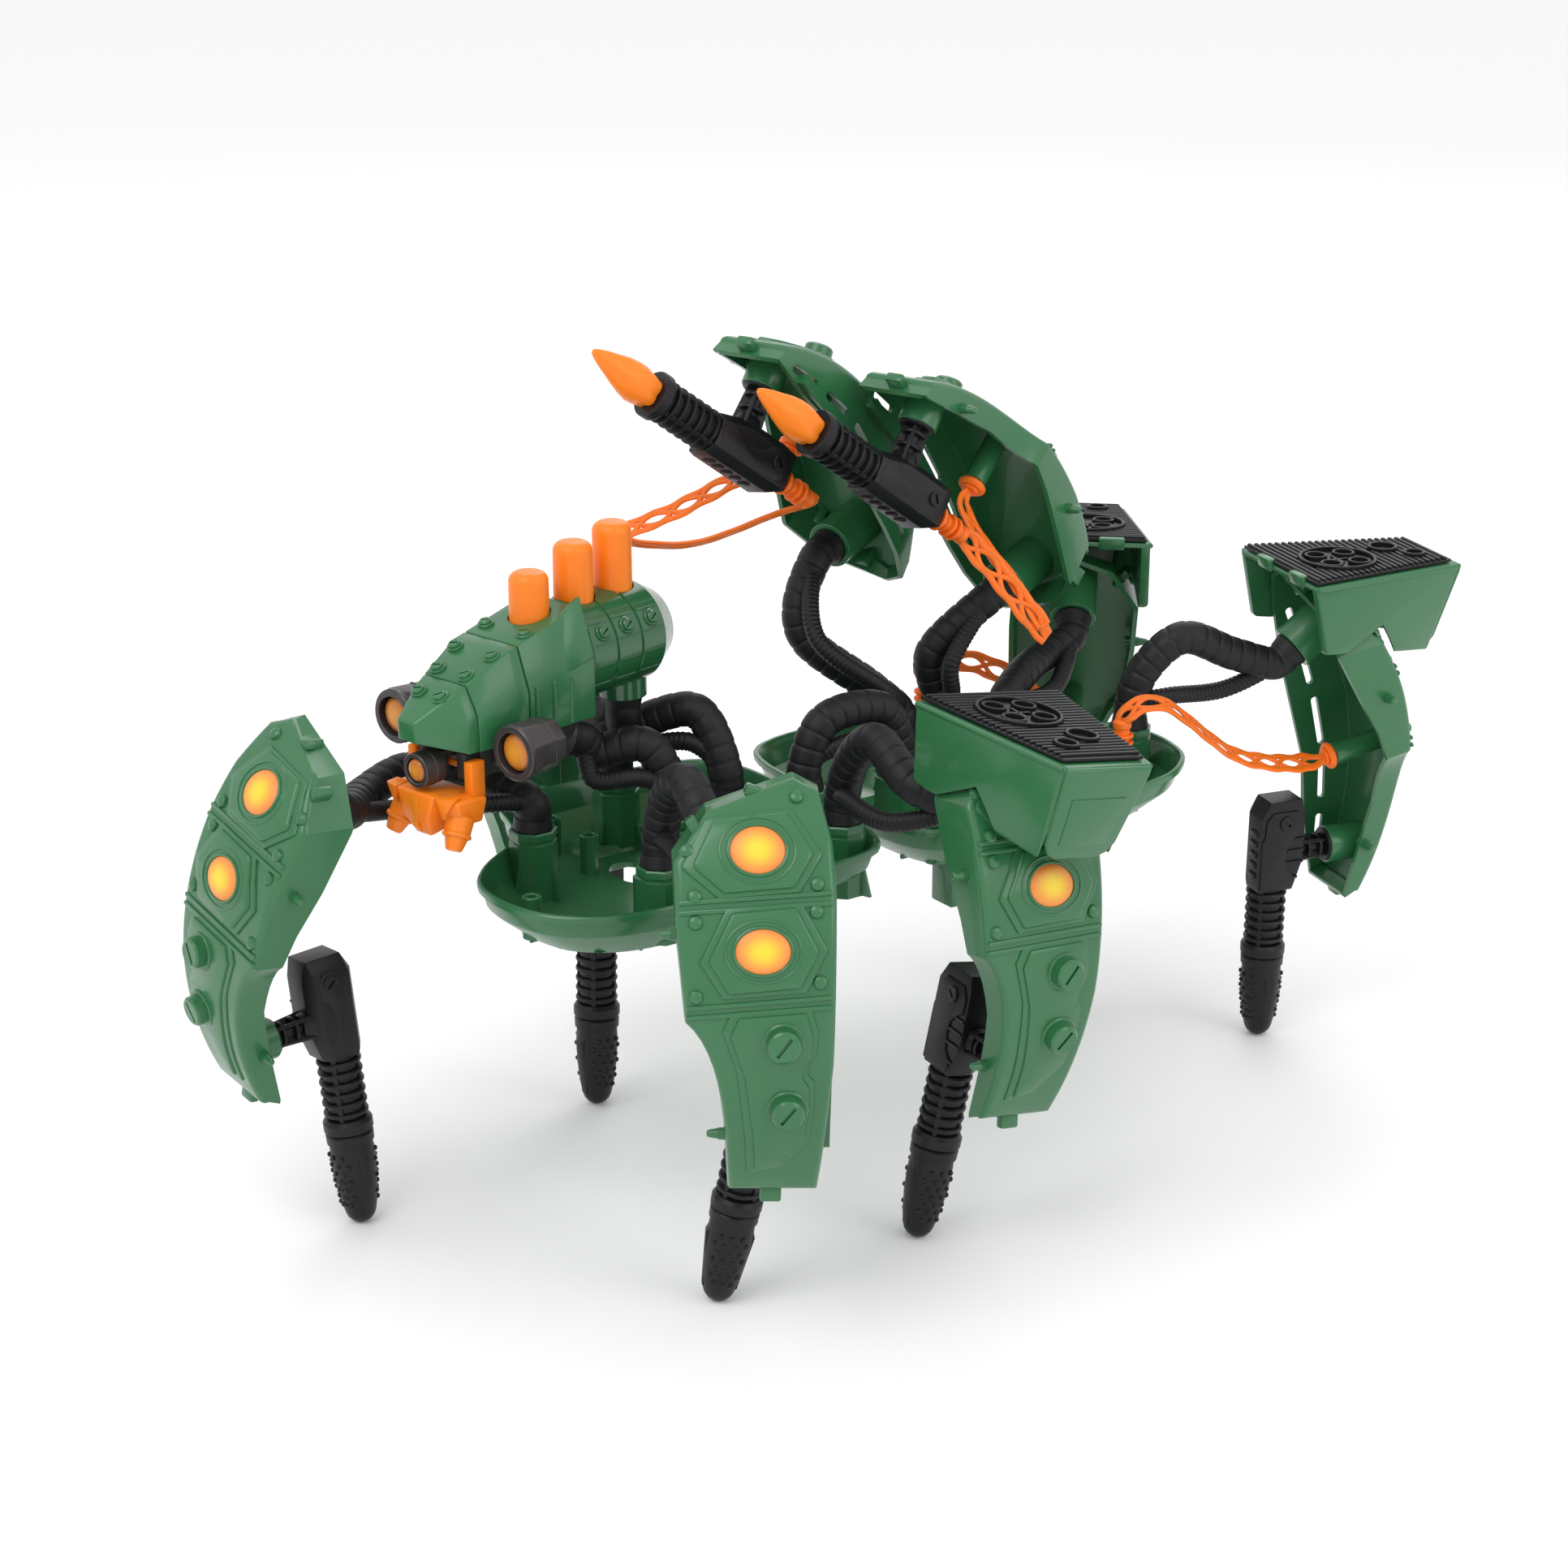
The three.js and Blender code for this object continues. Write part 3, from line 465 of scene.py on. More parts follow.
class Form:
    """One piece being put together from shapes, with a material for each of them."""

    def __init__(self, *materials):
        self.materials = materials
        self.bm = bmesh.new()
        self.radial = self.bm.verts.layers.float.new("radial")

    def add(self, bm, paint=0, radial=None):
        made, known = {}, set()
        bm.verts.index_update()
        for v in bm.verts:
            new = self.bm.verts.new(v.co)
            new[self.radial] = radial(v.co) if radial else 0.0
            made[v] = new
        for face in bm.faces:
            corners = frozenset(v.index for v in face.verts)
            if corners in known:
                continue
            known.add(corners)
            new = self.bm.faces.new([made[v] for v in face.verts])
            new.material_index = paint
        bm.free()
        return self

    def mesh(self, name, sharp=32):
        mesh = bpy.data.meshes.new(name)
        bmesh.ops.scale(self.bm, vec=(MM, MM, MM), verts=self.bm.verts)
        self.bm.to_mesh(mesh)
        self.bm.free()
        for m in self.materials:
            mesh.materials.append(m)
        mesh.shade_smooth()
        mesh.set_sharp_from_angle(angle=math.radians(sharp))
        return mesh


def mirrored(mesh, name):
    """The same piece for the other side: left and right along y are swapped."""
    other = mesh.copy()
    other.name = name
    other.transform(flipped(-1))
    other.flip_normals()
    return other


def placed(mesh, name, matrix, body, *nodes, slot):
    """Puts a piece where its frame is, on its body, in place of its CAD nodes."""
    obj = linked(name, mesh)
    metres = matrix.copy()
    metres.translation = metres.translation * MM
    obj.matrix_world = metres
    bpy.context.view_layer.update()
    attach(obj, body)
    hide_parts(*nodes)


# ------------------------------------------------------------------ frames of the pieces


def joint_at(name):
    return Vector(JOINTS[name]["pos_m"]) * 1000


def joint_axis(name):
    return Vector(JOINTS[name]["axis"]).normalized()


def framed(x, y, z, at):
    turn = Matrix((x, y, z)).transposed().to_4x4()
    return Matrix.Translation(at) @ turn


def set_on(spot, point, x, y, z):
    """The frame with these axes whose own point stands on a spot."""
    return framed(x, y, z, spot - framed(x, y, z, (0, 0, 0)) @ point)


PITCH = math.radians(12)  # a shell is pitched this far on its peg
MOUTH = Vector((21, 0, 78))  # a shell's hose socket, and the way into it
MOUTH_IN = Vector((math.cos(math.radians(26)), 0, math.sin(math.radians(26))))
POST = Vector((32, 0, 30))  # a shell's strap socket
JAW = Vector((0, -10.5, -14))


def shell_frame(swivel, hinge):
    """A shell's frame: the swivel runs up its hose socket, and the hinge through its peg socket."""
    peg = joint_axis(hinge)
    y = joint_axis(swivel).cross(peg).normalized()
    up = peg.cross(y)
    x = peg * math.cos(PITCH) + up * math.sin(PITCH)
    z = up * math.cos(PITCH) - peg * math.sin(PITCH)
    return set_on(joint_at(swivel), MOUTH, x, y, z)


def rod_frame(hinge, tip_node):
    """A rod's frame: +X along its peg, and its tip, a turned piece, down its -Z."""
    at, x = joint_at(hinge), joint_axis(hinge)
    corners = [v.co for v in frame["nodes"][tip_node].data.vertices]
    centre = sum(corners, Vector()) / len(corners) * 1000
    down = centre - at
    z = -(down - x * down.dot(x)).normalized()
    return framed(x, z.cross(x), z, at)


def head_frame():
    x = joint_axis("jaw")
    z = Vector((0, 0, 1))
    return set_on(joint_at("jaw"), JAW, x, z.cross(x), z)


def body_frame():
    """The pans' frame: the front pan's rim runs from x -61 and ends at y -2."""
    low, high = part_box("front_pan")
    return Matrix.Translation((low[0] * 1000 + 61, high[1] * 1000 + 2, 0))


BODY = body_frame()
HEAD = head_frame()

# ------------------------------------------------------------------ leg and arm shells

ARC = 108
ARC_X, ARC_Z = -53, 38
LOW, HIGH = -28, 105
RIM_LINE = [(105, 27), (60, 28), (20, 31), (-7, 27), (-28, 26)]
SHORT_RIM = [(27, 80), (35, 57), (41, 42), (44, 30), (41, 10), (34, -8), (25, -29)]
FACE = [
    (-25, 80), (-15, 95), (12, 105), (20, 101), (24, 86), (25, 70), (25, 17), (22.5, -28), (-5.5, -28),
    (-7, -12),
]


def on_arc(y, z, lift=0.0):
    """A point over the shell's curved face, lift above it."""
    a = math.asin((z - ARC_Z) / ARC)
    r = ARC + lift
    return Vector((ARC_X + r * math.cos(a), y, ARC_Z + r * math.sin(a)))


def arc_normal(z):
    a = math.asin((z - ARC_Z) / ARC)
    return Vector((math.cos(a), 0, math.sin(a)))


def rim_x(z):
    for (z0, x0), (z1, x1) in zip(RIM_LINE, RIM_LINE[1:]):
        if z >= z1:
            return x1 + (x0 - x1) * (z - z1) / (z0 - z1)
    return RIM_LINE[-1][1]


def face_outline():
    curve = []
    for i in range(1, 9):
        t = i / 8
        y = (1 - t) ** 2 * -7 + 2 * t * (1 - t) * -10 + t**2 * -21
        z = (1 - t) ** 2 * -12 + 2 * t * (1 - t) * 22 + t**2 * 31
        curve.append((y, z))
    return FACE + curve + [(-24, 58)]


def wrapped(bm, place):
    """Moves a flat drawing's points, each (y, z, lift), to their places in the shell's frame."""
    for v in bm.verts:
        v.co = place(*v.co)
    return finish(bm)


def bent(bm):
    """Brings a flat relief, drawn in (y, z) with its height third, onto the curved face."""
    return wrapped(bm, lambda y, z, lift: on_arc(y, min(max(z, LOW - 6), HIGH + 3), lift))


def relief(points, low, high, edge=0.6, segments=2):
    bm = prism(points, low, high)
    zs = [z for _, z in points]
    soften(bm, edge, segments)
    sliced(bm, 1, math.floor(min(zs)) + 2, max(zs), 4)
    return bent(bm)


def shell_skin():
    """The moulded wall: curved face with rounded edges and side walls back to the rim."""
    deep = 30
    bm = prism(face_outline(), -deep, 0)
    edges = [e for e in bm.edges if all(abs(v.co.z) < 1e-6 for v in e.verts)]
    bmesh.ops.bevel(
        bm, geom=edges, offset=2.2, offset_type="OFFSET", segments=4, profile=0.5, affect="EDGES",
    )
    bottom = [f for f in bm.faces if all(v.co.z < -deep + 1e-3 for v in f.verts)]
    bmesh.ops.delete(bm, geom=bottom, context="FACES_ONLY")
    sliced(bm, 1, LOW + 2, HIGH, 4)
    sliced(bm, 0, -20, 20, 8)
    rim = -deep + 1
    wrapped(bm, lambda y, z, lift: Vector((rim_x(z), y, z)) if lift < rim else on_arc(y, z, lift))
    middle = min(bm.faces, key=lambda f: (f.calc_center_median() - on_arc(0, 50)).length)
    if middle.normal.x < 0:
        bmesh.ops.reverse_faces(bm, faces=bm.faces)
    obj = in_scene(bm)
    wall = obj.modifiers.new("wall", "SOLIDIFY")
    wall.thickness = WALL
    wall.offset = -1
    wall.use_even_offset = True
    return out_of_scene(obj)


def shell_inside():
    """The room inside the wall, closed at the rim: what stands in it is cut to this."""
    bm = prism([(y * 0.96 + 0.1, z) for y, z in face_outline()], -60, -WALL / 2)
    sliced(bm, 1, LOW + 2, HIGH, 6)
    return wrapped(bm, lambda y, z, lift: on_arc(y, z, lift) if lift > -10 else Vector((-5, y, z)))


PADS = {
    "upper": ((0.5, 82.8), [(-13, 91.5), (9.6, 94), (17.9, 82.3), (11.8, 72.3), (-9.7, 70.5), (-19.5, 78.5)]),
    "lower": ((2.2, 53.6), [(-7.5, 65), (12.4, 66.8), (19.5, 54), (14, 42.4), (-8, 40.4), (-14.5, 50.4)]),
}
LAMP_HALF = (8.7, 6.9)  # a lamp's half width and half height
RIVETS = [
    (12.9, 98.5), (-21, 83), (-18.6, 69.7), (18.9, 73.6), (18.6, 65.6), (-18.4, 62), (-18, 39.6),
    (20, 44.3),
]
BOLTS = [(9, 25.5), (11, 4)]
PANEL = [
    (-4.9, 33.3), (15.9, 35), (18.2, 27.5), (17.8, 20.8), (15.4, 17.3), (15.3, 13.9), (17.6, 11), (17.7, 4),
    (16.8, -6), (8.5, -16), (1.9, -18.5), (0.9, -6.3), (-2.5, 13.9), (-7.3, 27.4),
]


def oval(at, half, scale=1.0, steps=40):
    return [
        (at[0] + half[0] * scale * math.cos(2 * math.pi * i / steps),
         at[1] + half[1] * scale * math.sin(2 * math.pi * i / steps))
        for i in range(steps)
    ]


def lamp_ring(at, scale, radius, lift):
    path = [Vector((y, z, lift)) for y, z in oval(at, LAMP_HALF, scale, 48)]
    path.append(path[0].copy())
    return bent(sweep(path, lambda s: circle(radius, 8)))


def lamp(form, at, lift):
    """A painted lamp: shallow dome in two raised rings."""
    dome = bmesh.new()
    rings, steps = 7, 40
    middle = dome.verts.new((*at, lift + 1.5))
    rows = []
    for k in range(1, rings + 1):
        t = k / rings
        height = lift + 1.5 * math.sqrt(max(0.0, 1 - t**2.2))
        rows.append([dome.verts.new((y, z, height)) for y, z in oval(at, LAMP_HALF, t, steps)])
    for i in range(steps):
        dome.faces.new((middle, rows[0][i], rows[0][(i + 1) % steps]))
        for a, b in zip(rows, rows[1:]):
            dome.faces.new((a[i], b[i], b[(i + 1) % steps], a[(i + 1) % steps]))
    bent(dome)

    def from_middle(co):
        height = ARC_Z + ARC * (co.z - ARC_Z) / math.hypot(co.x - ARC_X, co.z - ARC_Z)
        return math.hypot((co.y - at[0]) / LAMP_HALF[0], (height - at[1]) / LAMP_HALF[1])

    form.add(dome, 1, from_middle)
    form.add(lamp_ring(at, 1.04, 0.55, lift + 0.1))
    form.add(lamp_ring(at, 1.34, 0.45, lift - 0.1))


def collar(r, height, edge=0.5):
    """A plain round boss, standing on z 0."""
    return lathe([(0, -1.5), (r, -1.5), (r, height - edge), (r - edge, height), (0, height)], 32)


def slotted_bolt(r, height, slot, edge=0.5):
    """A round head with a slot, standing on z 0."""
    top = r * 0.97
    head = lathe([(0, -1.5), (r, -1.5), (top, height - edge), (top - edge, height), (0, height)], 28)
    return boolean(head, block(-slot[0], slot[0], -slot[1], slot[1], height - 0.9, height + 1))


def rivet():
    return lathe([(0, -0.6), (2.3, -0.6), (2.3, 0.2), (1.9, 1.0), (1.1, 1.45), (0, 1.6)], 20)


def on_face(bm, at, turn=0.0):
    """Stands a piece up on the curved face."""
    return moved(bm, toward(on_arc(*at), arc_normal(at[1]), turn))


def groove_pair(form, z_left, z_right):
    """The two raised bands across the shell where its plates meet."""
    left = -23.5 if z_left > 50 else -21
    for step in (1.5, -1.5):
        a, b = z_left + step, z_right + step
        band = [(left, a - 0.75), (23.6, b - 0.75), (23.6, b + 0.75), (left, a + 0.75)]
        form.add(relief(band, -0.8, 0.75, 0.5))


def shell_mesh():
    """A leg's or an arm's shell. Three of the eight are its mirror image."""
    form = Form(GREEN, LAMP)
    skin = shell_skin()
    # Slots in the straight wall, between its rim rail and the face
    for z0, z1 in ((-20, -4), (2, 18), (24, 44), (50, 66), (72, 84)):
        middle = (z0 + z1) / 2
        x = (rim_x(middle) + on_arc(0, middle).x) / 2 + 1
        lean = (rim_x(z1) - rim_x(z0) + on_arc(0, z1).x - on_arc(0, z0).x) / 2 / (z1 - z0)
        slot = block(-1.5, 1.5, -4, 4, (z0 - z1) / 2, (z1 - z0) / 2)
        slot = moved(soften(slot, 1.1, 2), Matrix.Rotation(math.atan(lean), 4, "Y"))
        skin = boolean(skin, moved(slot, shift(x - 4, 24, middle)))
    # The side wall is shallower where the outline curves
    beyond = prism([(-30, 80), *SHORT_RIM, (-30, -29)], 3, 40)
    upright = Matrix(((1, 0, 0, 0), (0, 0, -1, 0), (0, 1, 0, 0), (0, 0, 0, 1)))
    form.add(boolean(skin, moved(beyond, upright)))
    # Sockets for the rod's peg, the hose and the strap
    foot, peg = Vector((2.3, 6, -3.7)), Matrix.Rotation(PITCH, 4, "Y") @ Vector((1, 0, 0))
    sockets = [
        pipe(foot + peg * 24, foot + peg * 60, 7.2, 5.4, 28),
        pipe(MOUTH, MOUTH + MOUTH_IN * 45, 8.8, 6.85, 32),
        pipe(POST, POST + Vector((28, 0, 0)), 4.2, 2.3, 24),
    ]
    for socket in sockets:
        form.add(boolean(socket, shell_inside(), "INTERSECT"))
    for at, points in PADS.values():
        step = [(at[0] + (y - at[0]) * 1.16, at[1] + (z - at[1]) * 1.12) for y, z in points]
        form.add(relief(step, -1, 0.9, 0.7))
        form.add(relief(points, -1, 2.2, 1.1, 3))
        lamp(form, at, 2.2)
    groove_pair(form, 66.2, 69.6)
    groove_pair(form, 34.4, 38.2)
    wide = [(y + (1.6 if y > 5 else -2.4), z + (1.4 if z > 10 else -1.6)) for y, z in PANEL]
    form.add(relief(wide, -1, 0.7, 0.6))
    form.add(relief(PANEL, -1, 1.7, 0.8))
    for at in BOLTS:
        form.add(on_face(collar(6.6, 2.4), at))
        bolt = slotted_bolt(5.3, 6.0, (3.6, 0.55), 0.7)
        form.add(on_face(bolt, at, math.radians(55)))
    for at in RIVETS:
        form.add(on_face(rivet(), at))
    # Pins on the curved wall, and tabs on the top edge and the lower end
    for y, z in ((-22, 57), (-6, -8)):
        x = on_arc(0, z).x - 8
        form.add(bar((x, y + 2, z), (x, y - 3.4, z), 2.1, 1.9, 20))
        form.add(bar((x, y - 3, z), (x, y - 7, z), 1.7, 1.2, 20, 0.5))
    for y, z, turn in ((-18.5, 90, 56), (1, 100.6, 20)):
        tab = soften(block(-4, 3, -4.2, 4.2, -1, 2.4), 0.8)
        form.add(moved(tab, shift(*on_arc(y, z, -4)) @ spin(-turn, "X")))
    rail = [(rim_x(z) + 0.6, z) for z in range(-14, 28, 4)]
    for (x0, z0), (x1, z1) in zip(rail, rail[1:]):
        ends = ((x0, z0), (x0 + 4, z0), (x1, z1), (x1 + 4, z1))
        form.add(hull([(x, y, z) for x, z in ends for y in (23, 26.2)]))
    foot_tab = soften(block(46, 49.5, 4.5, 11.3, LOW - 4, LOW + 2), 0.9)
    x = on_arc(0, LOW).x
    form.add(moved(foot_tab, shift(x - 51, 0, 0)))
    return form.mesh("shell")


# ------------------------------------------------------------------ hip caps and tread plates

CAP_INNER_X, CAP_OUTER_X = 20, 88
CAP_INNER_Y, CAP_OUTER_Y = 29, 17
CAP_TOP, CAP_SLOPE = 111, 0.22


def cap_top(x):
    return CAP_TOP - (x - CAP_INNER_X) * CAP_SLOPE


def cap_mesh():
    """A tapering cuff, open inwards, below and above its floor, with a raised front panel."""

    def cuff(inset, stretch):
        x0, x1 = CAP_INNER_X - stretch, CAP_OUTER_X - 1 - inset
        y0, y1 = CAP_INNER_Y - inset, CAP_OUTER_Y - inset
        points = []
        for x, y in ((x0, y0), (x1, y1)):
            points += [(x, y, cap_top(x) - inset), (x, -y, cap_top(x) - inset)]
        for x, y, z in ((x0, y0, 84 - stretch), (70 - inset, 14 - inset, 65 - stretch)):
            points += [(x, y, z), (x, -y, z)]
        return hull(points)

    body = boolean(soften(cuff(0, 0), 1.6, 3), cuff(WALL, 12))
    room = prism([(y * 1.045, z) for y, z in face_outline()], -90, 3.8)
    sliced(room, 1, LOW + 2, HIGH, 6)
    wrapped(room, lambda y, z, lift: on_arc(y, z, lift) if lift > -20 else Vector((-30, y, z)))
    form = Form(GREEN)
    form.add(boolean(body, room))
    # Raised front with round lower corners, and a lip below the tread plate
    low, high = Vector((70, 0, 65)), Vector((CAP_OUTER_X - 1, 0, cap_top(CAP_OUTER_X - 1)))
    out = Vector((high.z - low.z, 0, low.x - high.x)).normalized()
    tilt = Matrix((Vector((0, 1, 0)), (high - low).normalized(), out)).transposed().to_4x4()
    front = [
        (-8, 0.4), (8, 0.4), (11.5, 2.2), (13.6, 6), (16.4, 32), (16.2, 35), (-16.2, 35), (-16.4, 32),
        (-13.6, 6), (-11.5, 2.2),
    ]
    form.add(moved(soften(prism(front, -1, 1.1), 0.8, 3), shift(*low) @ tilt))
    inner = [(-9, 6), (9, 6), (10.6, 24), (-10.6, 24)]
    form.add(moved(soften(prism(inner, 0, 1.5), 0.4, 2), shift(*low) @ tilt))
    for s in (-1, 1):
        a = Vector((CAP_INNER_X + 0.8, (CAP_INNER_Y - 0.2) * s, CAP_TOP - 1.2))
        b = Vector((CAP_OUTER_X - 2.5, (CAP_OUTER_Y - 0.2) * s, cap_top(CAP_OUTER_X - 2.5) - 1.2))
        form.add(bar(a, b, 1.0, sides=12, edge=0.3))
    for y in (-14, 10):
        tab = block(CAP_INNER_X - 0.5, CAP_INNER_X + 3, y - 5, y + 5, CAP_TOP - 3, CAP_TOP + 1.6)
        form.add(soften(tab, 0.7))
    return form.mesh("cap")


def tread_mesh():
    """The black plate on a hip cap, made level and tilted by its frame: ribs and raised rings."""
    length = CAP_OUTER_X - CAP_INNER_X - 4
    wide, narrow = CAP_INNER_Y - 1.5, CAP_OUTER_Y - 1.5
    half = lambda x: wide - (x / length) * (wide - narrow)
    form = Form(BLACK)
    form.add(soften(prism([(0, -wide), (length, -narrow), (length, narrow), (0, wide)], 0, 1.2), 0.3))
    big, ends = (22, -4, 14.5), [(46, 4, 5.6), (53, -7, 4.2)]
    for i in range(int(length / 2.6)):
        x = 1.6 + 2.6 * i
        spans = [(-half(x) + 0.6, half(x) - 0.6)]
        for cx, cy, r in [big, *ends]:
            if abs(x - cx) < r:
                gap = math.sqrt(r * r - (x - cx) ** 2)
                parts = [s for a, b in spans for s in ((a, min(b, cy - gap)), (max(a, cy + gap), b))]
                spans = [(a, b) for a, b in parts if b - a > 1]
        for a, b in spans:
            form.add(soften(block(x - 0.75, x + 0.75, a, b, 0.9, 2.1), 0.3, 1))
    for x, y, r in [big, *ends]:
        form.add(pipe((x, y, 0.9), (x, y, 3.1), r, r - 1.2, 40))
        form.add(bar((x, y, 0.5), (x, y, 1.45), r - 1, sides=32))
    for i in range(4):
        a = math.radians(45 + 90 * i)
        x, y = big[0] + 8.3 * math.cos(a), big[1] + 8.3 * math.sin(a)
        form.add(pipe((x, y, 1), (x, y, 3.0), 4.3, 3.2, 28))
    for turn in (0, 90):
        rib = block(-4.5, 4.5, -0.5, 0.5, 1.2, 2.2)
        form.add(moved(rib, shift(big[0], big[1], 0) @ spin(turn)))
    return form.mesh("tread")


def tread_frame(shell):
    tilt = Matrix.Rotation(math.atan(CAP_SLOPE), 4, "Y")
    return shell @ shift(CAP_INNER_X + 1, 0, cap_top(CAP_INNER_X + 1) + GAP) @ tilt


# ------------------------------------------------------------------ rods, boots and flames

ROD_TOP, ROD_BLOCK, ROD_COLLAR, ROD_TIP, TIP_R = 23, -14, -42, -77, 5.5
GRIP = [(-7.8, -7), (7.8, -7), (7.8, 3), (5, 7), (-5, 7), (-7.8, 3)]
GRIP_WIDE = [(-7.8, -7), (11, -7), (11, 3), (7.5, 7), (-5, 7), (-7.8, 3)]


def rod_mesh():
    shoulder = ROD_TOP - 6.5
    form = Form(BLACK)
    head = hull(
        [(x * 0.94, y * 0.94, ROD_BLOCK) for x, y in GRIP] + [(x, y, ROD_BLOCK + 3) for x, y in GRIP]
        + [(x, y, z) for x, y in GRIP_WIDE for z in (-2, shoulder)]
        + [(-4, -7, ROD_TOP), (9.5, -7, ROD_TOP), (9.5, 4, ROD_TOP), (-4, 4, ROD_TOP)]
    )
    form.add(soften(head, 0.8, 3))
    # Raised cheek on both flat sides, waisted next to the peg, with a slotted boss above it
    cheek = [
        (-7.2, -12.5), (6.2, -12.5), (7.4, -10.8), (7.0, -8), (4.2, -5.5), (3.2, 0), (3.8, 4.5), (6.4, 7.5),
        (9.6, 9.5), (9.8, 14.6), (7.4, 18.8), (-2.8, 18.8), (-5.8, 15.6), (-6.2, 9), (-7.2, 7.4),
    ]
    for y, lift, out in ((-7, 0.8, -1), (6.2, 0.9, 1)):
        stand = flipped(-out) @ spin(90, "X")
        plate = moved(soften(prism(cheek, -0.6, lift), 0.45, 2), stand)
        if out > 0:
            plate = moved(plate, Matrix.Diagonal((0.7, 1, 0.96, 1)))
        form.add(moved(plate, shift(0, y, 0)))
        boss = moved(lathe([(0, 0), (2.9, 0), (2.9, 1.2), (2.5, 1.5), (0, 1.5)], 24), stand)
        boss = moved(boss, shift(2.6, y * 1.03, 14.2))
        slot = moved(block(-1.7, 1.7, -1, 1, -0.45, 0.45), spin(40, "Y"))
        form.add(boolean(boss, moved(slot, shift(2.6, y * 1.03 + out * 1.7, 14.2))))
    for z in (-7.5, -3.2, 1.1, 5.4, 9.7):
        form.add(soften(block(-8.5, -7, -4.6, 0.6, z - 1.1, z + 1.1), 0.5, 2))
    for z, reach, end in ((-8.6, 6.6, 8.8), (-2.4, 3.4, 10.8), (2.4, 3.6, 10.8), (7, 6.2, 11)):
        form.add(soften(block(reach, end, -7.8, -6.2, z - 0.5, z + 0.5), 0.15, 1))
    # Ribbed barrel
    profile = [(0, ROD_COLLAR + 0.5), (6.2, ROD_COLLAR + 0.5)]
    for i in range(6):
        z = -35.8 + 3.8 * i
        profile += [(6.2, z), (7.7, z + 0.35), (7.8, z + 1.0), (7.5, z + 1.6), (6.2, z + 2.0)]
    profile += [(6.2, ROD_BLOCK + 1), (0, ROD_BLOCK + 1)]
    form.add(lathe(profile, 30))
    for turn in (45, 135, 225, 315):
        strip = soften(block(4.4, 7.2, -0.9, 0.9, ROD_COLLAR + 2, ROD_BLOCK + 0.5), 0.3, 1)
        form.add(moved(strip, spin(turn)))
    # Collar with a dipping lip
    lip = [(4.4, 0), (8.1, 0), (8.6, 0.6), (8.6, 3.6), (7.7, 5), (6, 5.6), (4.4, 5.6)]
    form.add(lathe([(r, ROD_COLLAR + h) for r, h in lip], 32))
    # Side peg: root, crossed webs with rings, and the round end in the shell
    form.add(bar((5, 0, 0), (13, 0, 0), 6.5, 4.4, 20, 0.4))
    form.add(bar((6, 0, 0), (24, 0, 0), 2.6, sides=16))
    for turn in (0, 90):
        ends = ((6, -6), (6, 6), (24, -4.6), (24, 4.6))
        web = hull([(x, w, h) for x, h in ends for w in (-0.7, 0.7)])
        form.add(moved(soften(web, 0.3, 1), spin(turn + 45, "X")))
    for x in (15, 20):
        form.add(bar((x, 0, 0), (x + 1.3, 0, 0), 4.7, sides=24, edge=0.3))
    form.add(bar((23, 0, 0), (25, 0, 0), 6.6, sides=28, edge=0.5))
    form.add(bar((24, 0, 0), (41, 0, 0), 4.8, 4.5, 24, 0.5))
    return form.mesh("rod")


def boot_mesh():
    """Tapered sole with studs in rows on each side and two smooth strips."""
    top = ROD_COLLAR - GAP
    centre = ROD_TIP + TIP_R
    profile = [(TIP_R * math.sin(a), centre - TIP_R * math.cos(a)) for a in (0, 0.35, 0.7, 1.05, 1.35)]
    profile += [(6.4, -68), (7.4, -60), (7.8, -52), (7.3, top - 1), (6.8, top), (0, top)]
    form = Form(BLACK)
    form.add(lathe(profile, 32))
    form.add(lathe([(7, top - 4.4), (8.2, top - 3.8), (8.3, top - 0.6), (7.7, top), (6.6, top)], 32))
    radius = lambda z: 6.3 + (z + 68) * 0.11 if z < -60 else 7.3 + (z + 60) * 0.05
    stud = lambda: lathe([(0, -0.8), (0.95, -0.8), (0.95, 0.25), (0.6, 0.75), (0, 0.9)], 10)
    for row in range(7):
        z = -50.5 - 3.0 * row
        for k in range(12):
            a = math.radians(30 * k + (15 if row % 2 else 0))
            if abs(math.sin(a)) > 0.86:
                continue
            out = Vector((math.cos(a), math.sin(a), 0))
            form.add(moved(stud(), toward(out * radius(z) + Vector((0, 0, z)), out)))
            if row > 2 and k % 3 == 0:
                level = Vector((0, 0, z))
                aside = Vector((math.cos(a + 0.28), math.sin(a + 0.28), 0))
                form.add(bar(out * radius(z) + level, aside * (radius(z) - 0.1) + level, 0.6, sides=8))
    for turn in (90, 270):
        outline = ((6.6, 2.2, -48), (8.2, 2.2, -52), (5.9, 1.7, -72), (4, 1.7, -72))
        strip = hull([(x, w, z) for x, half, z in outline for w in (-half, half)])
        form.add(moved(soften(strip, 0.5, 2), spin(turn)))
    form.add(bar((0, 0, ROD_COLLAR - 2), (0, 0, ROD_COLLAR + 7), 4, sides=20))
    return form.mesh("boot")


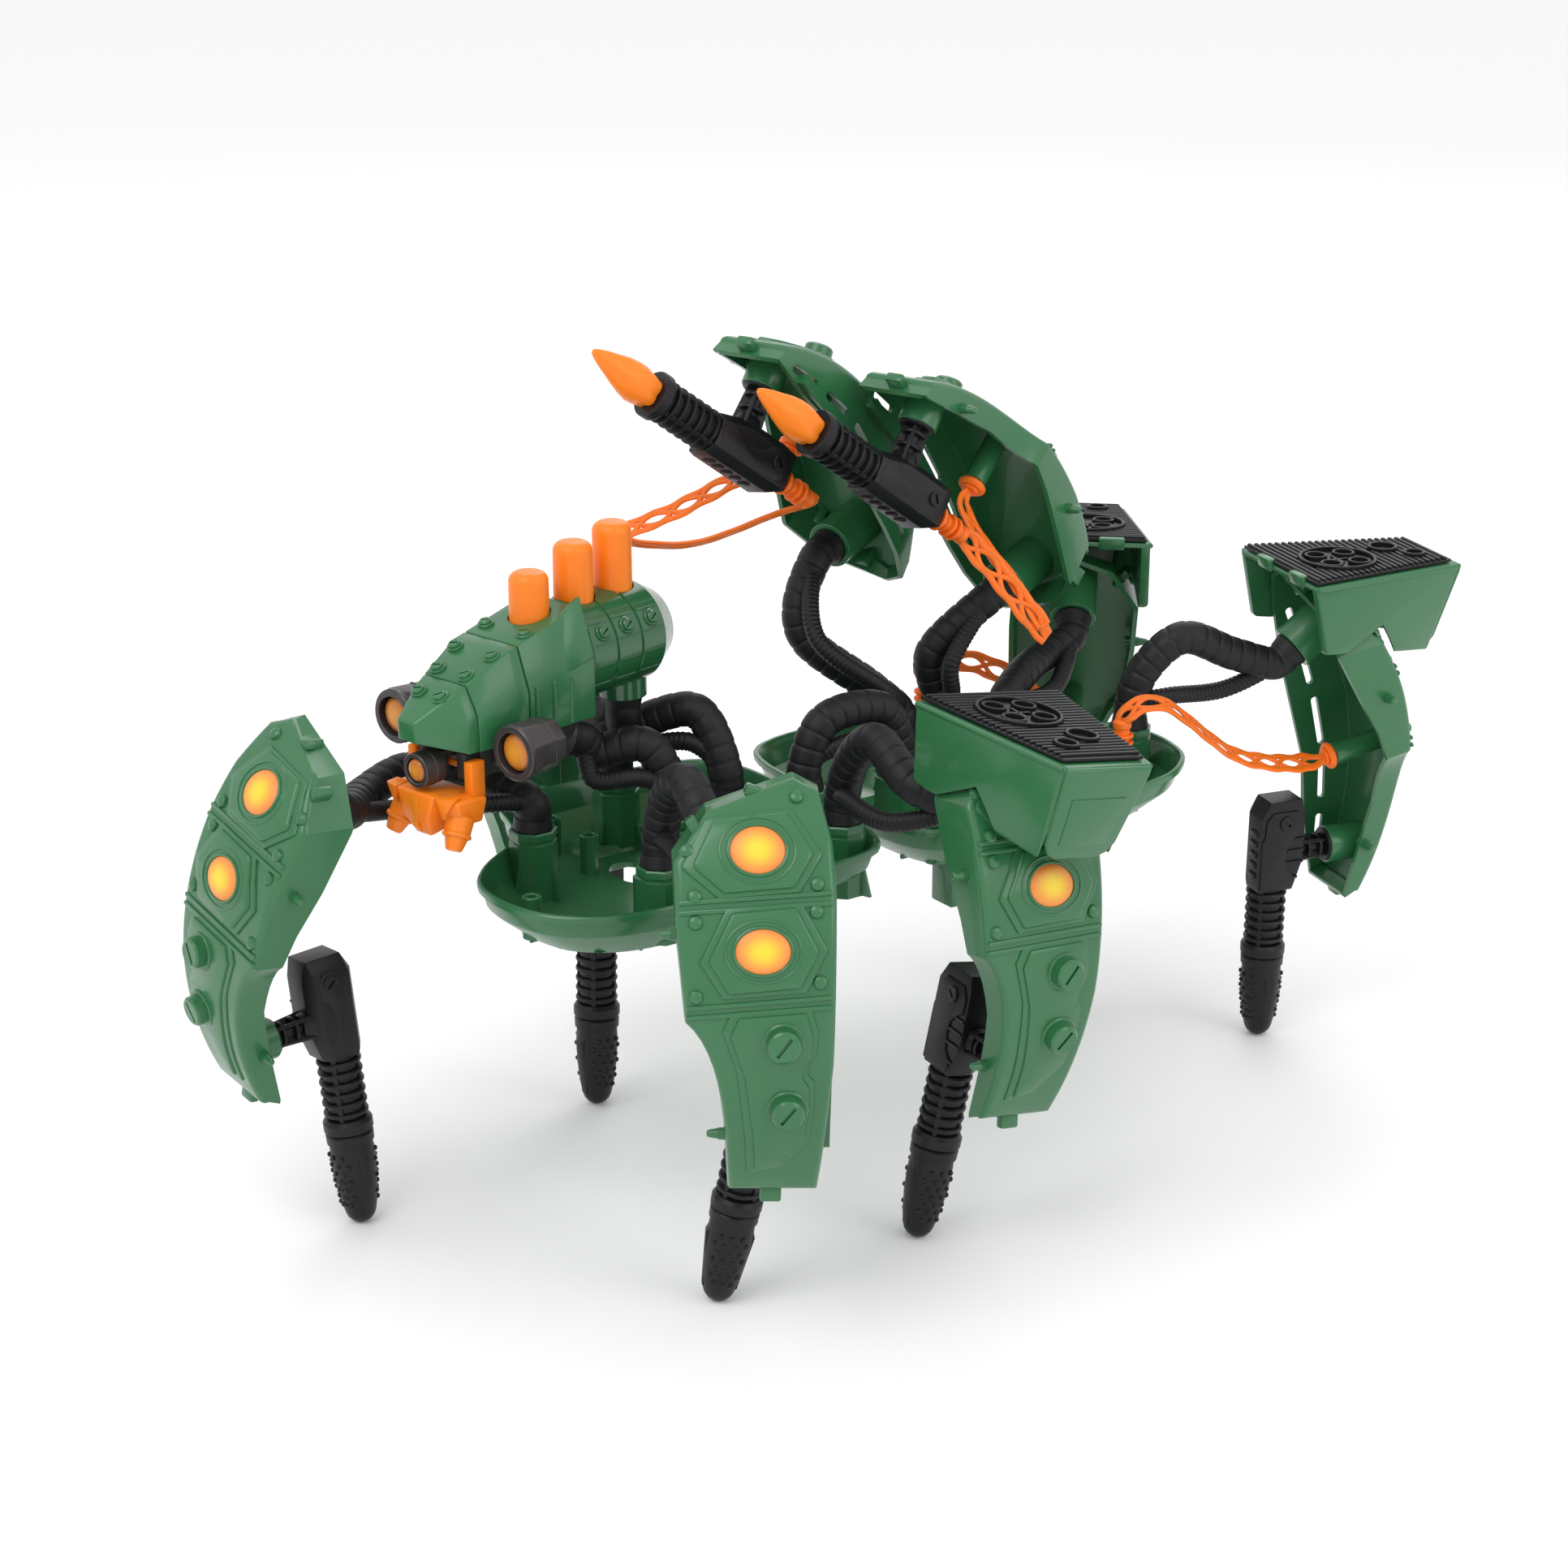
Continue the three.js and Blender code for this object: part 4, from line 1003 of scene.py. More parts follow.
def flame_mesh():
    """A tongue of flame: lobes that run together and twist towards the tip."""
    top = ROD_COLLAR - GAP
    rows = [
        (-69.6, 1.0), (-68, 1.9), (-65, 3.1), (-61, 4.2), (-57, 5.4), (-53, 6.3), (-49, 6.7), (-46, 6.2),
        (top, 5.4),
    ]
    sides = 30
    rings = []
    for z, r in rows:
        t = (z + 70) / 28
        ring = []
        for i in range(sides):
            a = 2 * math.pi * i / sides
            lobes = 0.13 * min(1.0, 2.2 * t) * abs(math.sin(2.5 * a + 1.6 * t)) ** 0.7
            lobes += 0.05 * math.sin(5 * a - 4 * t)
            rr = r * (0.93 + lobes)
            lean = 0.9 * (1 - t) ** 2
            ring.append((rr * math.cos(a) + lean, rr * math.sin(a), z))
        rings.append(ring)
    form = Form(ORANGE)
    form.add(skinned(rings))
    form.add(bar((0, 0, ROD_COLLAR - 2), (0, 0, ROD_COLLAR + 7), 4, sides=20))
    return form.mesh("flame", 50)


# ------------------------------------------------------------------ body pans

MIDDLE_Y, RIM_Z, FLOOR_Z, TOWER_TOP = 73, 128, 110, 135
TOWERS = {
    "front": (-11.7, -109.4), "front_left": (-37.8, -59.5), "front_right": (41.9, -92.1),
    "mid_right": (43.3, -18.6), "link_front": (9.3, -10.5), "neck_front": (5.1, -62.6),
    "neck_rear": (0.4, -37.8), "link_rear": (7.9, 31.9), "arm_left": (-17.2, 51.9),
    "arm_right": (-18.9, 73.8), "rear_left": (-6.3, 91.9), "rear": (23.5, 128.5),
}
RIM = [
    (-34, -2), (34, -2), (56, -9), (61, -30), (62, -100), (58, -122), (45, -139), (25, -145), (6, -143),
    (-8, -131), (-20, -112), (-34, -105), (-54, -100), (-61, -84), (-61, -30), (-54, -9),
]
STRAP_HOLES = {"rear": (38, 112), "rear_left": (-44, 84)}
# Each pan's end of the robot, its towers, its round bosses and its strap holes
PANS = {
    "front_pan": (
        -1, ["front", "front_left", "front_right", "mid_right", "link_front", "neck_front", "neck_rear"],
        [(-42, -84), (18, -128), (-44, -22), (24, -88), (34, -50), (-20, -82)], [],
    ),
    "rear_pan": (
        1, ["link_rear", "arm_left", "arm_right", "rear_left", "rear"],
        [(-40, 24), (40, 24), (12, 66), (42, 70), (4, 118)], list(STRAP_HOLES.values()),
    ),
}


STEPS = [  # middle, width, depth and height of each step in a pan's floor
    (-30, 40, 34, 14, 3.0), (30, 108, 26, 20, 2.2), (34, 70, 18, 34, 3.6), (-38, 66, 20, 30, 2.6),
    (6, 44, 20, 26, 1.8),
]


def rounded(points, share=0.22, times=2):
    for _ in range(times):
        out = []
        for a, b in zip(points, points[1:] + points[:1]):
            out += [(a[0] + (b[0] - a[0]) * t, a[1] + (b[1] - a[1]) * t) for t in (share, 1 - share)]
        points = out
    return points


def pan_shell(end):
    rim = rounded([(x, y * -end) for x, y in RIM])
    cx, cy = 2, end * MIDDLE_Y
    levels = [
        (FLOOR_Z - WALL, 0.755), (FLOOR_Z - WALL, 0.76), (RIM_Z - 9, 0.945), (RIM_Z - 8.2, 0.953),
        (RIM_Z - 3, 0.975), (RIM_Z - 2.4, 0.998), (RIM_Z - 0.6, 1.0), (RIM_Z, 0.994), (RIM_Z, 0.978),
        (RIM_Z - 0.5, 0.972), (RIM_Z - 3, 0.952), (RIM_Z - 9, 0.925), (FLOOR_Z + 0.6, 0.74), (FLOOR_Z, 0.73),
    ]
    return skinned([[((x - cx) * s + cx, (y - cy) * s + cy, z) for x, y in rim] for z, s in levels])


def tower(at):
    """An eight-sided hose tower with a stepped lip."""
    base, top = FLOOR_Z - 1, TOWER_TOP
    profile = [
        (8.8, base), (8.6, base + 1), (8.4, top - 4.4), (7.9, top - 4.0), (7.9, top - 3.2), (8.4, top - 2.8),
        (8.4, top - 0.5), (8.0, top), (7.3, top), (6.9, top - 0.4), (6.9, 114), (6.9, 113.9),
    ]
    return moved(lathe(profile, 8, 0.5), shift(*at, 0))


def pan_mesh(name):
    end, towers, bosses, strap_holes = PANS[name]
    form = Form(GREEN)
    skin = pan_shell(end)
    if end < 0:
        hole = prism(oval((-10, -70), (11, 7.5), 1, 40), FLOOR_Z - 6, FLOOR_Z + 4)
        skin = boolean(skin, hole)
    form.add(skin)
    for at in (TOWERS[key] for key in towers):
        form.add(tower(at))
        for turn in (0, 90, 180, 270):
            outline = ((7.8, FLOOR_Z - 1), (7.8, 124), (11.8, FLOOR_Z - 1))
            fin = hull([(x, w, z) for x, z in outline for w in (-0.6, 0.6)])
            form.add(moved(fin, shift(*at, 0) @ spin(turn + 22.5)))
    for i, (x, y) in enumerate(bosses):
        post = pipe((x, y, FLOOR_Z - 1), (x, y, 124), 3.3, 1.7, 24)
        if i == 0:
            post = boolean(post, block(x - 5, x + 5, y - 0.6, y + 0.6, 115, 126))
        form.add(post)
    for x, y in strap_holes:
        form.add(pipe((x, y, FLOOR_Z - 1), (x, y, TOWER_TOP - 6), 4.6, 3.1, 28))
    # Sloping steps moulded into the floor
    for x, y, w, h, rise in STEPS:
        y *= end
        corners = [(-1, -1), (-1, 1), (1, -1), (1, 1)]
        levels = ((2, FLOOR_Z - 1), (3, FLOOR_Z + rise))
        plate = hull([(x + sx * w / k, y + sy * h / k, z) for k, z in levels for sx, sy in corners])
        form.add(soften(plate, 0.5, 2))
    # Underside: posts, and ribs below the floor
    for x, y in ((-16, 95), (32, 40)):
        y *= end
        form.add(soften(block(x - 6, x + 6, y - 6, y + 6, 88, FLOOR_Z - 1), 0.8, 2))
        for s in (-1, 1):
            form.add(soften(block(x + s * 6 - 1, x + s * 6 + 1, y - 4, y + 4, 96, FLOOR_Z - 1), 0.4, 1))
    for y in (30, 52, 76, 100):
        form.add(soften(block(-40, 42, y * end - 0.7, y * end + 0.7, FLOOR_Z - 4.4, FLOOR_Z - 1), 0.3, 1))
    for x in (-24, 0, 26):
        low, high = sorted((20 * end, 110 * end))
        form.add(soften(block(x - 0.7, x + 0.7, low, high, FLOOR_Z - 3.6, FLOOR_Z - 1), 0.3, 1))
    return form.mesh(name)


# ------------------------------------------------------------------ hoses

THICK, THIN, PLUG = 6.2, 3.4, 6.5
SEAM, RIB = 5.6, 1.75


def stem(end, t):
    return end[0] + end[1] * t


def branch(ends, via, reach, step):
    """A branch's path: it leaves both plugs straight and follows its route between them."""
    first, last = ([stem(end, t) for t in (reach, -2, -8)] for end in ends)
    return smooth_path([*first, *(Vector(p) for p in via), *reversed(last)], step)


def wound(s):
    """The thick branch is wound in bands: each swells a little and ends in a narrow seam."""
    phase = (s % SEAM) / SEAM
    near = min(phase, 1 - phase) * SEAM
    return circle(THICK - 0.42 * math.exp(-((near / 0.45) ** 2)) + 0.1 * phase, 26)


def ribbed(s):
    return circle(THIN - 0.28 * (0.5 + 0.5 * math.cos(2 * math.pi * s / RIB)), 16)


def hose(name, ends, via, thin):
    form = Form(RUBBER)
    form.add(sweep(branch(ends, via, 2, 0.7), wound))
    form.add(sweep(branch(ends, thin, 1.3, 0.44), ribbed))
    for end in ends:
        form.add(bar(stem(end, 12), stem(end, -1.2), PLUG, sides=32, edge=0.4))
        form.add(bar(stem(end, 0), stem(end, -4.6), PLUG + 0.5, THICK + 0.1, 32, 0.3))
    return form.mesh(name)


def end_in(piece, at, into):
    """An end's mouth and the way into it, brought out of a piece's frame."""
    return (piece @ Vector(at), (piece.to_3x3() @ Vector(into)).normalized())


def in_tower(key):
    return end_in(BODY, (*TOWERS[key], TOWER_TOP), (0, 0, -1))


NECK = ((3, 40, -18), (-0.2, -0.92, 0.34))
TAIL_SOCKET = ((0, 73, -12), (0, 0, 1))
LEG_ROUTES = {
    "front": ([(-27, -120, 151), (-38, -142, 155), (-32, -163, 152)], [(-14, -128, 147), (-24, -150, 147)]),
    "front_left": ([(-44, -59.5, 156), (-54, -60, 155)], [(-42, -66, 146), (-52, -66, 148)]),
    "front_right": ([(48, -93, 160), (64, -96, 171), (82, -98, 160)], [(56, -97, 147), (76, -101, 146)]),
    "mid_right": ([(49, -19, 158), (64, -20, 170), (84, -19, 160)], [(54, -25, 147), (78, -24, 146)]),
    "rear": ([(25, 133, 156), (31, 146, 168), (38, 166, 160)], [(30, 140, 146), (36, 164, 146)]),
    "rear_left": ([(-9, 99, 148), (-15, 111, 151), (-23, 126, 151)], [(-3, 104, 143), (-9, 120, 144)]),
}
ARM_ROUTES = {
    "left": ([(-22, 42, 154), (-39, 24, 172), (-43, 24, 183)], [(-10, 40, 156), (-26, 20, 176)]),
    "right": ([(-21, 70, 152), (-20, 68, 163)], [(-10, 70, 150), (-8, 68, 162)]),
}
BODY_ROUTES = {
    "hose_link": (in_tower("link_front"), in_tower("link_rear"),
                  [(9, -2, 158), (9, 23, 158)], [(14, 2, 150), (14, 20, 150)]),
    "hose_neck_front": (end_in(HEAD, *NECK), in_tower("neck_front"),
                        [(-12, -84, 158), (-1, -70, 160)], [(-6, -88, 150), (3, -74, 150)]),
    "hose_neck_rear": (end_in(HEAD, *TAIL_SOCKET), in_tower("neck_rear"),
                       [(-28, -60, 158), (-12, -42, 164)], [(-26, -64, 152), (-8, -46, 154)]),
}


def in_body(points):
    return [BODY @ Vector(p) for p in points]


def hoses(shells, arms):
    routes = {}
    for key, (via, thin) in LEG_ROUTES.items():
        routes["hose_" + key] = (in_tower(key), end_in(shells[key], MOUTH, MOUTH_IN), via, thin)
    for key, (via, thin) in ARM_ROUTES.items():
        routes["hose_arm_" + key] = (in_tower("arm_" + key), end_in(arms[key], MOUTH, MOUTH_IN), via, thin)
    for name, (first, last, via, thin) in {**routes, **BODY_ROUTES}.items():
        mesh = hose(name, (first, last), in_body(via), in_body(thin))
        obj = linked("dressed_" + name, mesh)
        if name == "hose_neck_rear":
            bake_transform(obj)
        else:
            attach(obj, "body")
        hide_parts(name)


# ------------------------------------------------------------------ straps

LATTICE = 25  # the strap's pattern repeats after this length
# A plug and a disc are turned in steps: from, to, radius and rounded edge of each
PLUG_STEPS = [
    (7, -13, 2.9, 0.3), (-0.5, -2.0, 4.6, 0.3), (-3.6, -4.8, 3.5, 0.3), (-6.2, -7.4, 4.4, 0.3),
    (-9, -10.2, 4.4, 0.3), (-12, -15.5, 3.4, 0.8),
]
DISC_STEPS = [(-0.4, -3.2, 5.2, 0.9), (-3.0, -4.2, 3.6, 0.6), (7, -2, 1.9, 0.3)]


def strap_mesh(name, plug, disc, via):
    """Ribbed plug, openwork band of crossing strands between two edges, and a round disc."""
    points = [stem(plug, -10), stem(plug, -16), *via, stem(disc, -9), stem(disc, -2)]
    path = smooth_path(points, 1.2)
    frames = frames_along(path)
    length = sum((v - u).length for u, v in zip(path, path[1:]))
    form = Form(STRAP)
    ease = lambda s: min(1.0, s / 9, (length - s) / 9)

    def strand(offset, wide, high):
        at, walked = [], 0.0
        for i, (p, (_, up)) in enumerate(zip(path, frames)):
            walked += (p - path[i - 1]).length if i else 0
            at.append(p + up * offset(walked) * max(0.0, ease(walked)))
        form.add(sweep(at, lambda s: circle(wide, 10, high / wide), frames))

    wave = 2 * math.pi / LATTICE
    strand(lambda s: 3.35 + 0.35 * math.sin(2 * wave * s), 0.8, 1.25)
    strand(lambda s: -3.35 + 0.35 * math.sin(2 * wave * s + 1), 0.8, 1.25)
    strand(lambda s: 2.9 * math.sin(wave * s), 0.75, 1.15)
    strand(lambda s: -2.9 * math.sin(wave * s), 0.75, 1.15)
    for end, steps in ((plug, PLUG_STEPS), (disc, DISC_STEPS)):
        for first, last, r, edge in steps:
            form.add(bar(stem(end, first), stem(end, last), r, sides=28, edge=edge))
    return form.mesh(name)


STRAP_ROUTES = {
    "rear": [(42, 124, 150), (50, 160, 124)],
    "rear_left": [(-56, 90, 147), (-50, 120, 140)],
    "arm_left": [(-30, 6, 224), (-44, -24, 214), (-54, -46, 218), (-48, -26, 226), (-43, 0, 236)],
    "arm_right": [(15, 70, 202), (26, 84, 180), (15, 79, 196), (3, 70, 214)],
}


def straps(shells, arms, cannons):
    for key, via in STRAP_ROUTES.items():
        if key in STRAP_HOLES:
            plug = end_in(BODY, (*STRAP_HOLES[key], RIM_Z + 1), (0, 0, -1))
            disc = end_in(shells[key], POST, (1, 0, 0))
        else:
            side = key[4:]
            plug = end_in(cannons[side], (0, 0, ROD_TOP), (0, 0, -1))
            disc = end_in(arms[side], POST, (1, 0, 0))
        mesh = strap_mesh("strap_" + key, plug, disc, in_body(via))
        obj = linked("dressed_strap_" + key, mesh)
        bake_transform(obj)
        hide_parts("strap_" + key)


# ------------------------------------------------------------------ head

COWL_SECTIONS = [
    (-28, [(4, -3), (4, 4)]),
    (-14, [(15, -8), (14, 3), (9, 12)]),
    (6, [(17.5, -8), (17.5, 7), (12.5, 21.5)]),
    (41, [(18.5, -8), (18.5, 12), (12, 30)]),
]
TAIL_FROM, TAIL_SHOULDER, TAIL_TO, TAIL_R, TAIL_Z = 41.4, 77, 86, 18, 11
PLUNGERS = {"front": (29, 8, 42), "middle": (50, 8, 48), "rear": (69, 8, 51)}
PLUNGER_R = 7
EYE_X, EYE_Z = 28.5, -6


def cowl_hull(inset=0.0):
    points = []
    for y, section in COWL_SECTIONS:
        for x, z in section:
            level = z - math.copysign(inset, z)
            station = y + (inset if y < 0 else 0)
            points += [(x - inset, station, level), (inset - x, station, level)]
    return hull(points)


def cowl_top(y):
    line = [(y, section[-1][1], section[-1][0]) for y, section in COWL_SECTIONS]
    for (y0, z0, x0), (y1, z1, x1) in zip(line, line[1:]):
        if y <= y1:
            t = (y - y0) / (y1 - y0)
            return z0 + (z1 - z0) * t, x0 + (x1 - x0) * t, Vector((0, z0 - z1, y1 - y0)).normalized()
    return line[-1][1], line[-1][2], Vector((0, 0, 1))


def bore(key):
    y, base, _ = PLUNGERS[key]
    return bar((0, y, base - 5), (0, y, 60), PLUNGER_R + GAP, sides=40)


def cowl_mesh():
    form = Form(GREEN)
    seams = (-10, 11)
    form.add(boolean(kept_between(cowl_hull(0.7), 1, -26, 40.6), bore("front")))
    edges = [-30, *seams, 41.4]
    for i, (y0, y1) in enumerate(zip(edges, edges[1:])):
        plate = kept_between(cowl_hull(), 1, y0 + 0.25, y1 - 0.25)
        plate = soften(plate, 0.5 if i else 0.8, 2)
        if i == 2:
            plate = boolean(plate, bore("front"))
            notch = prism([(-9.5, 39), (9.5, 39), (9.5, 60), (-9.5, 60)], 14, 40)
            plate = boolean(plate, soften(notch, 1.2, 2))
        form.add(plate)
    # Fins that rise at the rear beside the middle plunger
    for s in (-1, 1):
        fin = hull([(s * x, y, z) for x, y, z in (
            (11, 26, 25.2), (18.3, 28, 10.2), (9.8, 40, 32), (18.4, 41.2, 13), (12.2, 40.5, 33.5),
            (9.8, 41.2, 24), (16, 41.2, 10))])
        form.add(soften(fin, 0.7, 2))
    for y, x in ((17.5, 9), (3, 8.6), (-7, 6.6), (-17, 5)):
        z, _, out = cowl_top(y)
        for s in (-1, 1):
            spot = Vector((x * s, y, z))
            form.add(moved(collar(2.9, 0.9, 0.3), toward(spot, out)))
            bolt = slotted_bolt(2.2, 1.9, (1.5, 0.3), 0.4)
            form.add(moved(bolt, toward(spot, out, 0.7 if s > 0 else 0.3)))
    # Ribs low on the sides
    for s in (-1, 1):
        for y in (14, 22, 30):
            form.add(soften(block(s * 18 - 0.6, s * 18 + 0.6, y - 0.7, y + 0.7, -7.5, 9), 0.3, 1))
    return form.mesh("cowl")


def tail_mesh():
    form = Form(DEEP)
    along = shift(0, 0, TAIL_Z) @ spin(-90, "X")
    profile = [(0, TAIL_FROM), (TAIL_R - 0.7, TAIL_FROM), (TAIL_R, TAIL_FROM + 0.6)]
    for y in (53, 65):
        profile += [(TAIL_R, y - 0.7), (TAIL_R - 0.6, y - 0.4), (TAIL_R - 0.6, y + 0.4), (TAIL_R, y + 0.7)]
    profile += [
        (TAIL_R, TAIL_SHOULDER - 0.6), (TAIL_R - 0.5, TAIL_SHOULDER), (13.2, TAIL_TO - 0.8), (12.4, TAIL_TO),
        (0, TAIL_TO),
    ]
    drum = moved(lathe(profile, 56), along)
    for key in ("middle", "rear"):
        drum = boolean(drum, bore(key))
    form.add(drum)
    for a in (50, 74, 98, 122):
        for s in (-1, 1):
            for y0, y1 in ((43, 51.8), (54.2, 63.8), (66.2, 75.5)):
                rib = soften(block(-0.35, 0.35, y0, y1, -0.4, 0.3), 0.15, 1)
                form.add(moved(rib, shift(0, 0, TAIL_Z) @ spin(a * s, "Y") @ shift(0, 0, TAIL_R)))
    for y in (47.5, 59, 71):
        for s in (-1, 1):
            a = math.radians(62 * s)
            out = Vector((math.sin(a), 0, math.cos(a)))
            spot = Vector((0, y, TAIL_Z)) + out * (TAIL_R - 0.2)
            form.add(moved(collar(3.1, 0.9, 0.3), toward(spot, out)))
            form.add(moved(slotted_bolt(2.3, 1.9, (1.6, 0.3), 0.4), toward(spot, out, 0.5)))
    x, y, z = TAIL_SOCKET[0]
    form.add(pipe((x, y, z + 10), (x, y, z), 8.6, 6.9, 36))
    return form.mesh("tail")


def plunger_mesh(name, base, top):
    height = top - base
    profile = [(0, 0), (PLUNGER_R - 0.3, 0), (PLUNGER_R, 0.3)]
    r = 3.4
    for i in range(8):
        a = i / 7 * math.pi / 2
        profile.append((PLUNGER_R - 0.25 - r * (1 - math.cos(a)), height - r + r * math.sin(a)))
    profile += [(0, height)]
    return Form(ORANGE).add(lathe(profile, 48)).mesh(name)


def base_mesh():
    form = Form(GUNMETAL)
    body = hull([
        (-13, -8, -8.4), (13, -8, -8.4), (-13, 40, -8.4), (13, 40, -8.4),
        (-11, -4, -19), (11, -4, -19), (-10, 36, -20), (10, 36, -20),
    ])
    form.add(soften(body, 0.9, 3))
    at, into = Vector(NECK[0]), Vector(NECK[1]).normalized()
    form.add(pipe(at, at + into * 16, 8.8, 6.9, 32))
    for x in (-9, 9):
        form.add(soften(block(x - 2, x + 2, -13, -4, -18, -9), 0.6, 2))
    for y in (6, 16, 26):
        form.add(soften(block(-13.4, 13.4, y - 0.6, y + 0.6, -17.5, -9), 0.3, 1))
    return form.mesh("base")


def pod_mesh(name, side):
    """An eye's housing: eight-sided hood with a round lip, on its arm."""
    x, z = EYE_X * side, EYE_Z
    form = Form(GUNMETAL)
    hood = bar((x, 9, z), (x, -6.4, z), 8.6, 9.8, 8)
    hood = boolean(soften(hood, 0.6, 2), bar((x, -3.5, z), (x, -12, z), 7.2, sides=36))
    form.add(hood)
    form.add(pipe((x, -8, z), (x, -5.6, z), 9.4, 7.0, 40, 0.5))
    form.add(pipe((x, -8.2, z), (x, -7.4, z), 7.6, 6.9, 40, 0.2))
    form.add(pipe((x, 3.4, z), (x, 4.4, z), 9.3, 8.0, 8, 0.2))
    form.add(bar((21 * side, 0, -13.5), (x, 0, -12), 3.2, 3.8, 20, 0.4))
    form.add(bar((8 * side, 0, -13), (23 * side, 0, -13), 2.5, sides=24))
    return form.mesh(name)


def lens_mesh(name, at, r, high):
    """A domed lens that looks along -Y; its colour runs out from its middle."""
    angles = [i / 7 * math.pi / 2 for i in range(7)]
    profile = [(r * math.cos(a), high * (0.45 + 0.55 * math.sin(a))) for a in angles]
    dome = lathe([(0, 0), (r, 0), *profile, (0, high)], 40)
    form = Form(LENS)
    dome = moved(dome, shift(*at) @ spin(90, "X"))
    form.add(dome, 0, lambda co: math.hypot(co.x - at[0], co.z - at[2]) / r)
    return form.mesh(name)


def nose_mesh():
    form = Form(GUNMETAL)
    form.add(pipe((0, -16, -14), (0, -25, -14), 5.9, 4.3, 32, 0.4))
    form.add(bar((0, -16, -14), (0, -21.9, -14), 5.2, sides=32, edge=0.4))
    form.add(pipe((0, -20.4, -14), (0, -19.2, -14), 6.1, 5, 32, 0.2))
    form.add(soften(block(-3.5, 3.5, -17, -12.8, -18, -9), 0.6, 2))
    form.add(soften(block(-3.5, 3.5, -13, -8.5, -11.8, -9), 0.5, 2))
    return form.mesh("nose")


def muzzle_mesh():
    """Snout and two swept arms, each ending in a stepped fang."""
    form = Form(ORANGE)
    snout = hull([
        (-9, -25.6, -21), (9, -25.6, -21), (-10, -9, -22), (10, -9, -22), (-5.5, -25.8, -30),
        (5.5, -25.8, -30), (-6, -10, -34), (6, -10, -34), (-3.6, -22, -37), (3.6, -22, -37),
    ])
    form.add(soften(snout, 1.0, 3))
    ridge = hull([
        (-2, -26, -22), (2, -26, -22), (-1.4, -26, -33), (1.4, -26, -33), (0, -22, -37), (0, -20, -22),
    ])
    form.add(soften(ridge, 0.5, 2))
    for s in (-1, 1):
        arm = hull([(s * x, y, z) for x, y, z in (
            (7, -24, -21), (7, -10, -22), (16.8, -22, -22.4), (17.6, -9, -23), (8, -22, -30), (8, -11, -32),
            (15.6, -20, -31), (15.8, -10, -32))])
        form.add(soften(arm, 1.1, 3))
        crest = hull([(s * x, y, z) for x, y, z in (
            (9, -25.4, -21.2), (16.2, -23.4, -21.6), (15.4, -19, -20.9), (9.4, -19, -20.9), (12, -24, -28))])
        form.add(soften(crest, 0.6, 2))
        a, b = Vector((s * 12.6, -17, -29)), Vector((s * 14.6, -23.2, -40))
        aim = (b - a).normalized()
        form.add(bar(a, a + aim * 6.5, 4.7, 4.4, 18, 0.5))
        form.add(bar(a + aim * 5.6, a + aim * 7.2, 4.9, 4.9, 18, 0.4))
        form.add(bar(a + aim * 6.6, a + aim * 11.6, 3.9, 2.9, 18, 0.6))
        form.add(soften(block(s * 13.4 - 2, s * 13.4 + 2, -14, -8, -24, -11), 0.6, 2))
    form.add(bar((-13, -10.5, -14), (13, -10.5, -14), 1.15, sides=16))
    return form.mesh("muzzle")


def head():
    def put(mesh, name, body, slot):
        placed(mesh, "dressed_" + name, HEAD, body, name, slot=slot)

    put(cowl_mesh(), "head_cowl", "head", "green")
    put(tail_mesh(), "head_tail", "head", "deep_green")
    put(base_mesh(), "head_base", "head", "gunmetal")
    put(nose_mesh(), "nose_lamp", "head", "gunmetal")
    put(lens_mesh("nose_lens", (0, -22 - GAP, -14), 3.9, 3.2), "nose_lens", "head", "amber")
    put(muzzle_mesh(), "muzzle", "jaw", "orange")
    for key, (y, base, top) in PLUNGERS.items():
        mesh = plunger_mesh("plunger_" + key, base, top)
        at = HEAD @ Matrix.Translation((0, y, base))
        placed(mesh, "dressed_plunger_" + key, at, "plunger_" + key, "plunger_" + key, slot="orange")
    for key, side in (("left", -1), ("right", 1)):
        put(pod_mesh("pod_" + key, side), "eye_pod_" + key, "eye_" + key, "gunmetal")
        lens = lens_mesh("eye_lens_" + key, (EYE_X * side, -3.5 - GAP, EYE_Z), 6.4, 3.6)
        put(lens, "eye_lens_" + key, "eye_" + key, "amber")


